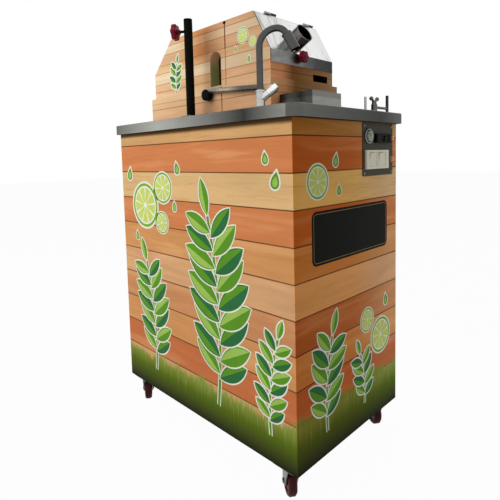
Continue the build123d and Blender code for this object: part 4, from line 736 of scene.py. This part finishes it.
# Post: where it stands, its clamp, its weld bead and its ground rim
postLook = {"centre": (-0.032, -0.205), "flangeTop": 0.988, "top": 1.266, "clampLevel": 1.233, "clampTurn": 212,
            "clampReach": 0.033, "bead": (0.0131, 0.0022), "rim": (0.0115, 0.001)}
clampTurn = math.radians(postLook["clampTurn"])
clampOut = Vector((math.cos(clampTurn), math.sin(clampTurn), 0))
clampSpot = Vector((*postLook["centre"], postLook["clampLevel"])) + clampOut * postLook["clampReach"]
hoodKnob = {"radius": 0.017, "hub": 0.0076, "neck": 0.005, "stud": 0.0191,
            "place": facing((1, 0, 0), (0.2361, -0.017, 1.138))}
postKnob = {"radius": 0.024, "hub": 0.008, "neck": 0.008, "stud": 0.0223, "place": facing(clampOut, clampSpot)}
knobPiece("hood_star_knob", "hood_clamp", "hood_knob", hoodKnob)
knobPiece("post_star_knob", "post_clamp", "post_knob", postKnob)

# Domed screws with a cross slot
screwLook = {"head": (0.004, 0.002, 0.0005), "curve": [(1, 0.35), (0.8, 0.8), (0.4, 0.97), (0, 1)],
             "slot": (0.0046, 0.0009, 0.0008), "slotEdge": 0.0001, "slotLevel": 0.001632, "slotTurn": 0.4,
             "face": 0.387, "sides": (0.060, 0.210), "levels": (0.811, 0.942),
             "flangeTurns": (45, 135, 225, 315), "flangeRing": 0.02175, "steps": 24}


def crossScrew(bm, place):
    putInto(bm, domed(*screwLook["head"], screwLook["curve"], screwLook["steps"]), place)
    for turn in (screwLook["slotTurn"], screwLook["slotTurn"] + math.pi / 2):
        slot = roundedBlock(screwLook["slot"], screwLook["slotEdge"], 1)
        lift = at(0, 0, screwLook["slotLevel"]) @ spun(turn)
        putInto(bm, slot, place @ lift, 1)


screws = bmesh.new()
for side in screwLook["sides"]:
    for level in screwLook["levels"]:
        crossScrew(screws, facing((1, 0, 0), (screwLook["face"], side, level)))
postX, postY = postLook["centre"]
ring = screwLook["flangeRing"]
for degrees in screwLook["flangeTurns"]:
    turn = math.radians(degrees)
    spot = (postX + ring * math.cos(turn), postY + ring * math.sin(turn), postLook["flangeTop"])
    crossScrew(screws, facing((0, 0, 1), spot))
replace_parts(newPiece("cross_screws", screws, "cabinet", "zinc", "zincPlate", "deviceBlack"), "panel_screws")
print("knobs and screws")

# Feed pipe: weld bead at its foot and a rolled lip at its mouth
feedLook = {"mouth": (0.2543, -0.026, 1.1995), "bead": (0.0276, 0.0021, 56), "lip": (0.026, 0.0015, 56)}
feedTrim = gathered((hoop(*feedLook["bead"]), facing(hoodLook["pipeAxis"], hoodLook["pipeFoot"])),
                    (hoop(*feedLook["lip"]), facing(hoodLook["pipeAxis"], feedLook["mouth"])))
newPiece("feed_pipe_trim", feedTrim, "feed_hood", "polished", "hoodSteel")

# Post: weld bead on the flange and a ground rim
postTrim = gathered((hoop(*postLook["bead"]), at(*postLook["centre"], postLook["flangeTop"])),
                    (hoop(*postLook["rim"]), at(*postLook["centre"], postLook["top"])))
newPiece("post_trim", postTrim, "cabinet", "post_paint", "postBlack")

# Devices on the operator's end
deviceLook = {
    "lampFace": 0.3874, "lampSide": 0.207, "lampLevels": (0.910, 0.848), "lampRing": (0.0076, 0.0012),
    "button": (0.082, 0.913), "collarFace": 0.389, "collarRing": (0.0190, 0.0024, 48),
    "capFace": 0.395, "inlay": (0.005, 0.001, 0.0006), "inlayCurve": [(1, 0.2), (0.9, 0.6), (0.5, 0.9), (0, 1)],
    "inlaySpot": (0.078, 0.917),
    "breakerFace": 0.395, "coverSides": (0.121, 0.188), "breakerLevel": 0.9075,
    "cover": ((0.0018, 0.016, 0.021), 0.0006), "gap": ((0.0006, 0.0009, 0.041), 0.0002),
    "switchFace": 0.393, "gapSides": (0.116, 0.164), "gapLevel": 0.8485,
}
bezels = gathered(
    *[(hoop(*deviceLook["lampRing"]), facing((1, 0, 0), (deviceLook["lampFace"], deviceLook["lampSide"], level)))
      for level in deviceLook["lampLevels"]],
    (hoop(*deviceLook["collarRing"]), facing((1, 0, 0), (deviceLook["collarFace"], *deviceLook["button"]))))
newPiece("lamp_and_button_bezels", bezels, "cabinet", "bright", "spoutSteel")
inlay = gathered((domed(*deviceLook["inlay"], deviceLook["inlayCurve"]),
                  facing((1, 0, 0), (deviceLook["capFace"], *deviceLook["inlaySpot"]))))
newPiece("button_inlay", inlay, "start_button", "button", "buttonGreen")

breaker = gathered(*[  # terminal covers at both ends
    (roundedBlock(*deviceLook["cover"]), at(deviceLook["breakerFace"], side, deviceLook["breakerLevel"]))
    for side in deviceLook["coverSides"]])
newPiece("breaker_covers", breaker, "cabinet", "control_black", "deviceBlack")

switchGapShade = gathered(*[  # black strips standing in for the shade in the gaps between the modules
    (roundedBlock(*deviceLook["gap"]), at(deviceLook["switchFace"], side, deviceLook["gapLevel"]))
    for side in deviceLook["gapSides"]])
newPiece("switch_plate_gap_shade", switchGapShade, "cabinet", "control_black", "deviceBlack")
print("devices on the operator's end")

# Casters: axle nuts on the forks and bolts under the plates
casterLook = {"trail": 0.014, "cheek": 0.0165, "nut": (0.0068, 0.003, 0.0005),
              "plateFoot": 0.092, "bolt": (0.0052, 0.0034, 0.0004), "boltSpread": 0.024}
casterTurn = Matrix.Rotation(math.radians(wheelLook["turn"]), 3, "Z")
plateBolts = bmesh.new()
for corner in corners:
    low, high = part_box("caster_wheel_" + corner)
    centre = (low + high) / 2
    nuts = bmesh.new()
    for side in (-1, 1):
        axle = casterTurn @ Vector((0, side, 0))
        putInto(nuts, hexNut(*casterLook["nut"]), facing(axle, centre + axle * casterLook["cheek"]))
    newPiece("axle_nuts_" + corner, nuts, "fork_" + corner, "zinc", "zincPlate", sharp=25)
    kingpin = centre + casterTurn @ Vector((casterLook["trail"], 0, 0))
    for dx in (-1, 1):
        for dy in (-1, 1):
            spot = (kingpin.x + dx * casterLook["boltSpread"], kingpin.y + dy * casterLook["boltSpread"],
                    casterLook["plateFoot"])
            putInto(plateBolts, hexNut(*casterLook["bolt"]), facing((0, 0, -1), spot))
newPiece("plate_bolts", plateBolts, "cabinet", "zinc", "zincPlate", sharp=25)

# Arch window: a bent strip that lines its edge
archLook = {"left": -0.016, "right": 0.034, "sill": 1.076, "spring": 1.154, "near": -0.1392, "deep": 0.034,
            "wall": 0.0012, "steps": 24}
arch = bmesh.new()
middle = (archLook["right"] + archLook["left"]) / 2
foot = arch.verts.new((archLook["right"], archLook["near"], archLook["sill"]))
knee = arch.verts.new((archLook["right"], archLook["near"], archLook["spring"]))
arch.edges.new((foot, knee))
made = bmesh.ops.spin(arch, geom=[knee], cent=(middle, 0, archLook["spring"]), axis=(0, -1, 0), angle=math.pi,
                      steps=archLook["steps"])
end = vertsOf(made["geom_last"])[0]
sill = arch.verts.new((archLook["left"], archLook["near"], archLook["sill"]))
arch.edges.new((end, sill))
arch.edges.new((sill, foot))
made = bmesh.ops.extrude_edge_only(arch, edges=arch.edges[:])
bmesh.ops.translate(arch, vec=(0, archLook["deep"], 0), verts=vertsOf(made["geom"]))
bmesh.ops.recalc_face_normals(arch, faces=arch.faces)
bmesh.ops.solidify(arch, geom=arch.faces[:], thickness=archLook["wall"])
bmesh.ops.recalc_face_normals(arch, faces=arch.faces)
newPiece("arch_lining", arch, "cabinet", "casing_print", "archOlive", sharp=50)

# Small turned heads: the pin over the seam and the cap over the lever's hub
headCurve = [(1, 0.5), (0.86, 0.85), (0.5, 1), (0, 1)]
headLooks = {
    "seam_pin": {"at": (0.054, -0.140, 1.2505), "form": (0.0046, 0.003, 0.0008), "body": "cabinet"},
    "lever_cap": {"at": (-0.006, -0.1693, 1.050), "form": (0.0164, 0.0042, 0.0155), "body": "lever"},
}
for name, look in headLooks.items():
    head = gathered((domed(*look["form"], headCurve), facing((0, -1, 0), look["at"])))
    newPiece(name, head, look["body"], "zinc", "deviceBlack")

# Seam between the two halves of the casing's near side, carried on down the plinth
seamLook = {"thick": 0.0008, "edge": 0.0002,
            "strips": [(0.054, -0.140, 1.176, 1.252, 0.0042), (0.054, -0.140, 1.071, 1.176, 0.0018),
                       (0.0445, -0.150, 0.9845, 1.0705, 0.0036)]}
seams = gathered(*[(roundedBlock((width, seamLook["thick"], high - low), seamLook["edge"], 1),
                    at(x, y, (low + high) / 2))
                   for x, y, low, high, width in seamLook["strips"]])
newPiece("casing_seam", seams, "cabinet", "casing_print", "archBrown")

# Tap: collars on the pillar and rings on the spout's slanted nozzle
tapLook = {"collars": ((0.985, 0.0185, 0.0024), (1.0275, 0.0112, 0.0014)), "dip": 60, "start": (0.0665, 1.166),
           "rings": ((0.003, 0.0125, 0.0012), (0.044, 0.0122, 0.0010))}
tapTrim = gathered(*[(hoop(*ring), at(*pipeLook["axis"], level)) for level, *ring in tapLook["collars"]])
newPiece("tap_collars", tapTrim, "cabinet", "bright", "pipeChrome")
heading, dip = math.radians(pipeLook["heading"]), math.radians(tapLook["dip"])
reach, level = tapLook["start"]
outward = Vector((math.cos(heading), math.sin(heading), 0))
nozzleFoot = Vector((*pipeLook["axis"], level)) + outward * reach
nozzleWay = outward * math.cos(dip) + Vector((0, 0, -math.sin(dip)))
nozzle = gathered(*[(hoop(*ring), facing(nozzleWay, nozzleFoot + nozzleWay * along))
                    for along, *ring in tapLook["rings"]])
newPiece("nozzle_rings", nozzle, "swan_neck", "bright", "pipeChrome")

# Motor: cooling ribs round its barrel
motorLook = {"start": -0.196, "pitch": 0.012, "count": 14, "centre": (-0.0025, 0.653), "rib": (0.0645, 0.0022, 48, 8)}
ribs = gathered(*[
    (hoop(*motorLook["rib"]), facing((1, 0, 0), (motorLook["start"] + motorLook["pitch"] * k, *motorLook["centre"])))
    for k in range(motorLook["count"])])
newPiece("motor_ribs", ribs, "cabinet", "crusher_paint", "crusherGreen")
print("trim on the machine")

# Bare black plate with a thin keyline on the operator's end
plateLook = {"centre": (0.385, 0.005, 0.661), "width": 0.362, "height": 0.134, "corner": 0.017, "thickness": 0.0006,
             "margin": 0.006, "line": 0.0014}
plate = roundedPlate(*[plateLook[key] for key in ("width", "height", "corner", "thickness")])
front = [max(plate.faces, key=lambda face: face.calc_center_median().z)]
bmesh.ops.inset_region(plate, faces=front, thickness=plateLook["margin"], use_even_offset=True)
made = bmesh.ops.inset_region(plate, faces=front, thickness=plateLook["line"], use_even_offset=True)
for face in made["faces"]:  # the keyline
    face.material_index = 1
plate.transform(onFace((0, 1, 0), (1, 0, 0), plateLook["centre"]))
bmesh.ops.recalc_face_normals(plate, faces=plate.faces)
newPiece("bare_plate", plate, "cabinet", "cabinet_print", "inkBlack", "inkGold")

# Printed film: sprigs, citrus slices and drops, laid in thin layers of ink
inkOrder = ["inkPaper", "inkDeep", "inkMid", "inkPale", "inkRind", "inkFlesh"]
paper, deep, mid, pale, rind, flesh = range(len(inkOrder))
filmLook = {"sunk": 0.0002, "first": 0.0001, "rise": 0.00001, "outline": 0.0042}


# One printed face: each stamp lies slightly above the last, so that overlaps stay clean
class Film:
    def __init__(self):
        self.art = bmesh.new()
        self.height = filmLook["first"]

    def stamp(self, part, ink, place):
        raised(part, filmLook["sunk"] + self.height)
        bmesh.ops.translate(part, vec=(0, 0, -filmLook["sunk"]), verts=part.verts)
        putInto(self.art, part, place, ink)
        self.height += filmLook["rise"]


def lens(length, width, steps=10):  # a leaf outline from one arc and its mirror image
    bm = bmesh.new()
    rise = width / 2
    radius = (length ** 2 / 4 + rise ** 2) / (2 * rise)
    tip = bm.verts.new((0, 0, 0))
    bmesh.ops.spin(bm, geom=[tip], cent=(length / 2, rise - radius, 0), axis=(0, 0, -1),
                   angle=2 * math.asin(length / 2 / radius), steps=steps)
    bmesh.ops.mirror(bm, geom=bm.verts[:] + bm.edges[:], axis="Y", merge_dist=1e-5)
    bmesh.ops.remove_doubles(bm, verts=bm.verts, dist=1e-5)
    bmesh.ops.contextual_create(bm, geom=bm.edges[:])
    return bm


def swept(ends, angle, steps, centre=(0, 0, 0)):  # a flat band from a line between two places on X
    bm = bmesh.new()
    bm.edges.new([bm.verts.new((end, 0, 0)) for end in ends])
    bmesh.ops.spin(bm, geom=bm.verts[:] + bm.edges[:], cent=centre, axis=(0, 0, 1), angle=angle, steps=steps)
    return bm


def disc(radius, segments=36):
    bm = bmesh.new()
    bmesh.ops.create_circle(bm, cap_ends=True, segments=segments, radius=radius)
    return bm


leafLook = {"half": (0.96, 0.86), "vein": 0.0008, "inset": 0.02}


def leaf(film, place, length, width, ink):
    line = filmLook["outline"]
    film.stamp(lens(length + 2 * line, width + 2 * line), paper, place @ at(-line, 0, 0))
    film.stamp(lens(length, width), ink, place)
    longShare, wideShare = leafLook["half"]
    half = lens(length * longShare, width * wideShare)
    bmesh.ops.bisect_plane(half, geom=half.verts[:] + half.edges[:] + half.faces[:],
                           plane_co=(0, leafLook["vein"], 0), plane_no=(0, -1, 0), clear_outer=True)
    film.stamp(half, ink + 1, place @ at(length * leafLook["inset"], 0, 0))


sprigLook = {"halo": 1.4, "steps": 18, "reach": 0.96, "swell": (0.6, 0.4, 0.2, 0.72), "sway": (5, 2.3),
             "tip": (0.97, 0.72, 0.66)}


def sprig(film, look):
    bend = math.radians(look["bend"])
    radius = look["height"] / bend
    foot = at(*look["foot"], 0) @ spun(math.radians(look["lean"]))

    def upStem(share):
        swing = spun(bend * share)
        return foot @ at(-radius, 0, 0) @ swing @ at(radius, 0, 0)

    long, wide = look["leaf"]
    least, more, first, span = sprigLook["swell"]
    sway, pace = sprigLook["sway"]
    for ink, thick in ((paper, look["stem"] + sprigLook["halo"] * filmLook["outline"]), (mid, look["stem"])):
        film.stamp(swept((-thick / 2, thick / 2), bend, sprigLook["steps"], (-radius, 0, 0)), ink, foot)
    for k in range(look["pairs"]):
        share = look["bare"] + (sprigLook["reach"] - look["bare"]) * k / look["pairs"]
        size = least + more * math.sin(math.pi * (first + span * k / look["pairs"]))
        for side in (-1, 1):
            turn = math.pi / 2 + side * math.radians(look["spread"] + sway * math.sin(k * pace))
            place = upStem(share + side * look["stagger"]) @ spun(turn)
            leaf(film, place, long * size, wide * size, (deep, mid)[(k + (side > 0)) % 2])
    share, tipLong, tipWide = sprigLook["tip"]
    leaf(film, upStem(share) @ spun(math.pi / 2), long * tipLong, wide * tipWide, mid)


sliceLook = {"rings": ((paper, 1.09), (rind, 1.0), (paper, 0.88)), "wedges": 9, "wedge": (0.12, 0.80),
             "open": 33, "steps": 5}


def citrusSlice(film, place, radius):
    for ink, share in sliceLook["rings"]:
        film.stamp(disc(radius * share), ink, place)
    for k in range(sliceLook["wedges"]):
        ends = [radius * share for share in sliceLook["wedge"]]
        wedge = swept(ends, math.radians(sliceLook["open"]), sliceLook["steps"])
        film.stamp(wedge, flesh, place @ spun(math.radians(360 / sliceLook["wedges"] * k)))


dropLook = {"layers": ((paper, 1.3), (mid, 1.0), (pale, 0.62)), "segments": 28, "pinch": 0.72, "stretch": 2.0}


def drop(film, place, radius):
    for ink, share in dropLook["layers"]:
        shape = disc(radius * share, dropLook["segments"])
        for vert in shape.verts:
            if vert.co.y > 0:
                high = vert.co.y / (radius * share)
                vert.co.x *= 1 - high ** 2 * dropLook["pinch"]
                vert.co.y *= dropLook["stretch"]
        film.stamp(shape, ink, place)


# Layout of each printed face, from its own middle, in metres
sprigKeys = ("foot", "height", "bend", "lean", "pairs", "bare", "stem", "leaf", "spread", "stagger")
printLooks = {
    "front_print": {
        "body": "cabinet", "place": onFace((1, 0, 0), (0, -1, 0), (0, -0.2435, 0.5)),
        "sprigs": [
            ((0.100, -0.335), 0.560, 22, -8, 9, 0.16, 0.010, (0.150, 0.058), 56, 0.012),
            ((0.300, -0.335), 0.270, -22, 4, 6, 0.16, 0.007, (0.070, 0.030), 54, 0.016),
            ((-0.215, -0.335), 0.380, 24, -6, 7, 0.18, 0.008, (0.110, 0.044), 55, 0.014),
        ],
        "slices": [(-0.245, 0.215, 0.072, 0.2), (-0.140, 0.275, 0.048, 0.5), (-0.150, 0.165, 0.034, 0.1)],
        "drops": [(-0.060, 0.330, 0.012, 0.2), (-0.335, 0.310, 0.014, -0.2), (-0.080, 0.215, 0.010, 0.0),
                  (0.330, 0.300, 0.014, -0.2), (0.300, 0.355, 0.010, 0.1), (-0.300, 0.105, 0.010, 0.1)],
    },
    "end_print": {
        "body": "cabinet", "place": onFace((0, 1, 0), (1, 0, 0), (0.385, 0.0, 0.5)),
        "sprigs": [
            ((-0.120, -0.345), 0.260, -24, 6, 5, 0.18, 0.007, (0.092, 0.038), 55, 0.016),
            ((0.060, -0.345), 0.160, 26, -4, 4, 0.18, 0.006, (0.066, 0.028), 54, 0.02),
        ],
        "slices": [(0.150, -0.170, 0.052, 0.3), (0.075, -0.105, 0.034, 0.0), (-0.150, 0.300, 0.042, 0.2)],
        "drops": [(0.180, -0.075, 0.011, 0.1), (-0.075, 0.345, 0.011, -0.2), (-0.060, 0.270, 0.009, 0.1)],
    },
    "casing_side_print": {
        "body": "cabinet", "place": onFace((1, 0, 0), (0, -1, 0), (0.0, -0.140, 1.15)),
        "sprigs": [
            ((-0.190, -0.070), 0.100, -28, 10, 4, 0.14, 0.004, (0.040, 0.017), 54, 0.02),
        ],
        "slices": [(0.128, 0.050, 0.021, 0.2), (0.166, 0.026, 0.014, 0.5)],
        "drops": [(0.098, 0.016, 0.005, 0.1), (0.150, -0.020, 0.006, -0.1)],
    },
    "door_print": {
        "body": "door", "place": onFace((-1, 0, 0), (0, 1, 0), (0.0, 0.2435, 0.5)),
        "sprigs": [
            ((0.190, -0.345), 0.420, 24, -6, 7, 0.16, 0.009, (0.124, 0.050), 55, 0.012),
            ((-0.170, -0.345), 0.300, -24, 6, 6, 0.18, 0.007, (0.096, 0.038), 55, 0.014),
        ],
        "slices": [(-0.060, 0.180, 0.062, 0.2), (0.040, 0.235, 0.040, 0.1)],
        "drops": [(-0.150, 0.260, 0.012, 0.1), (0.110, 0.170, 0.010, -0.1)],
    },
    "rear_print": {
        "body": "cabinet", "place": onFace((0, -1, 0), (-1, 0, 0), (-0.385, 0.0, 0.5)),
        "sprigs": [
            ((0.030, -0.345), 0.360, 22, -4, 7, 0.16, 0.008, (0.108, 0.044), 55, 0.014),
        ],
        "slices": [(-0.100, 0.220, 0.050, 0.2), (-0.020, 0.290, 0.034, 0.4)],
        "drops": [(0.080, 0.250, 0.011, 0.1)],
    },
}
for name, look in printLooks.items():
    film = Film()
    for entry in look["sprigs"]:
        film.height = filmLook["first"]
        sprig(film, dict(zip(sprigKeys, entry)))
    for motif, entries in ((citrusSlice, look["slices"]), (drop, look["drops"])):
        for x, y, radius, turn in entries:
            film.height = filmLook["first"]
            motif(film, at(x, y, 0) @ spun(turn), radius)
    film.art.transform(look["place"])
    slotName = "casing_print" if name.startswith("casing") else "cabinet_print"
    newPiece(name, film.art, look["body"], slotName, *inkOrder, sharp=30)
print("printed film on", len(printLooks), "faces")

# Floor, lights and sky: a white set that metal reflects too
setLook = {"floor": 40.0, "floorTone": (0.55, 0.55, 0.55), "floorGlow": 0.97, "skyFill": 0.29}


def seenDirectly(finish):
    path = finish.add("ShaderNodeLightPath").socket.node
    camera, glossy, through = [Value(finish, path.outputs[name]) for name in
                               ("Is Camera Ray", "Is Glossy Ray", "Is Transmission Ray")]
    return (camera + glossy + through).atMost(1.0)


floorFinish = Finish("studioFloor", "ShaderNodeMixShader")
matte = floorFinish.add("ShaderNodeBsdfDiffuse", inputs={"Color": (*setLook["floorTone"], 1.0)})
glow = floorFinish.add("ShaderNodeEmission", inputs={"Color": (1.0, 1.0, 1.0, 1.0), "Strength": 1.0})
share = seenDirectly(floorFinish) * setLook["floorGlow"]
for socket, value in zip(floorFinish.shader.inputs, (share, matte, glow)):
    floorFinish.feed(socket, value)
ground = bmesh.new()
bmesh.ops.create_grid(ground, x_segments=1, y_segments=1, size=setLook["floor"] / 2)
groundMesh = meshFrom("floor", ground)
groundMesh.materials.append(floorFinish.material)
floor = linked("floor", groundMesh)

sky = Finish("studioSky", "ShaderNodeBackground", bpy.data.worlds.new("studioSky"))
sky.feed(sky.shader.inputs["Color"], (1.0, 1.0, 1.0, 1.0))
sky.feed(sky.shader.inputs["Strength"], setLook["skyFill"] + seenDirectly(sky) * (1 - setLook["skyFill"]))
bpy.context.scene.world = sky.material

lampLooks = {
    "key": {"at": (-0.9, -3.0, 2.0), "aim": (0.0, -0.2, 0.6), "watts": 92, "size": 3.2},
    "side": {"at": (0.95, 0.75, 0.55), "aim": (0.385, 0.2, 0.42), "watts": 2.3, "size": 0.5},
    "top": {"at": (0.2, 0.3, 3.0), "aim": (0.0, 0.0, 1.0), "watts": 18, "size": 1.6},
}
for name, look in lampLooks.items():
    light = bpy.data.lights.new(name, "AREA")
    light.energy = look["watts"]
    light.size = look["size"]
    lamp = linked(name, light)
    lamp.location = look["at"]
    lamp.rotation_euler = (Vector(look["aim"]) - Vector(look["at"])).to_track_quat("-Z", "Y").to_euler()
    lamp.visible_glossy = False  # steel mirrors the white set, not the lamps

cameraLook = {"at": (1.0213, -1.0090, 0.8617), "azimuth": 45.35, "elevation": 4.65, "roll": -1.42,
              "lens": 31.64, "shift": (0.0, -0.113)}
azimuth, elevation, roll = [math.radians(cameraLook[key]) for key in ("azimuth", "elevation", "roll")]
back = Vector((math.sin(azimuth), -math.cos(azimuth), 0)) * math.cos(elevation) + Vector((0, 0, math.sin(elevation)))
level = Vector((0, 0, 1)).cross(back).normalized()
above = back.cross(level)
right = level * math.cos(roll) + above * math.sin(roll)
up = above * math.cos(roll) - level * math.sin(roll)
view = bpy.data.cameras.new("photoView")
view.lens = cameraLook["lens"]
view.shift_x, view.shift_y = cameraLook["shift"]
camera = linked("photoView", view)
camera.matrix_world = at(*cameraLook["at"]) @ Matrix((right, up, back)).transposed().to_4x4()
bpy.context.scene.camera = camera
bpy.context.scene.view_settings.view_transform = "Standard"
print("set, lights and camera")
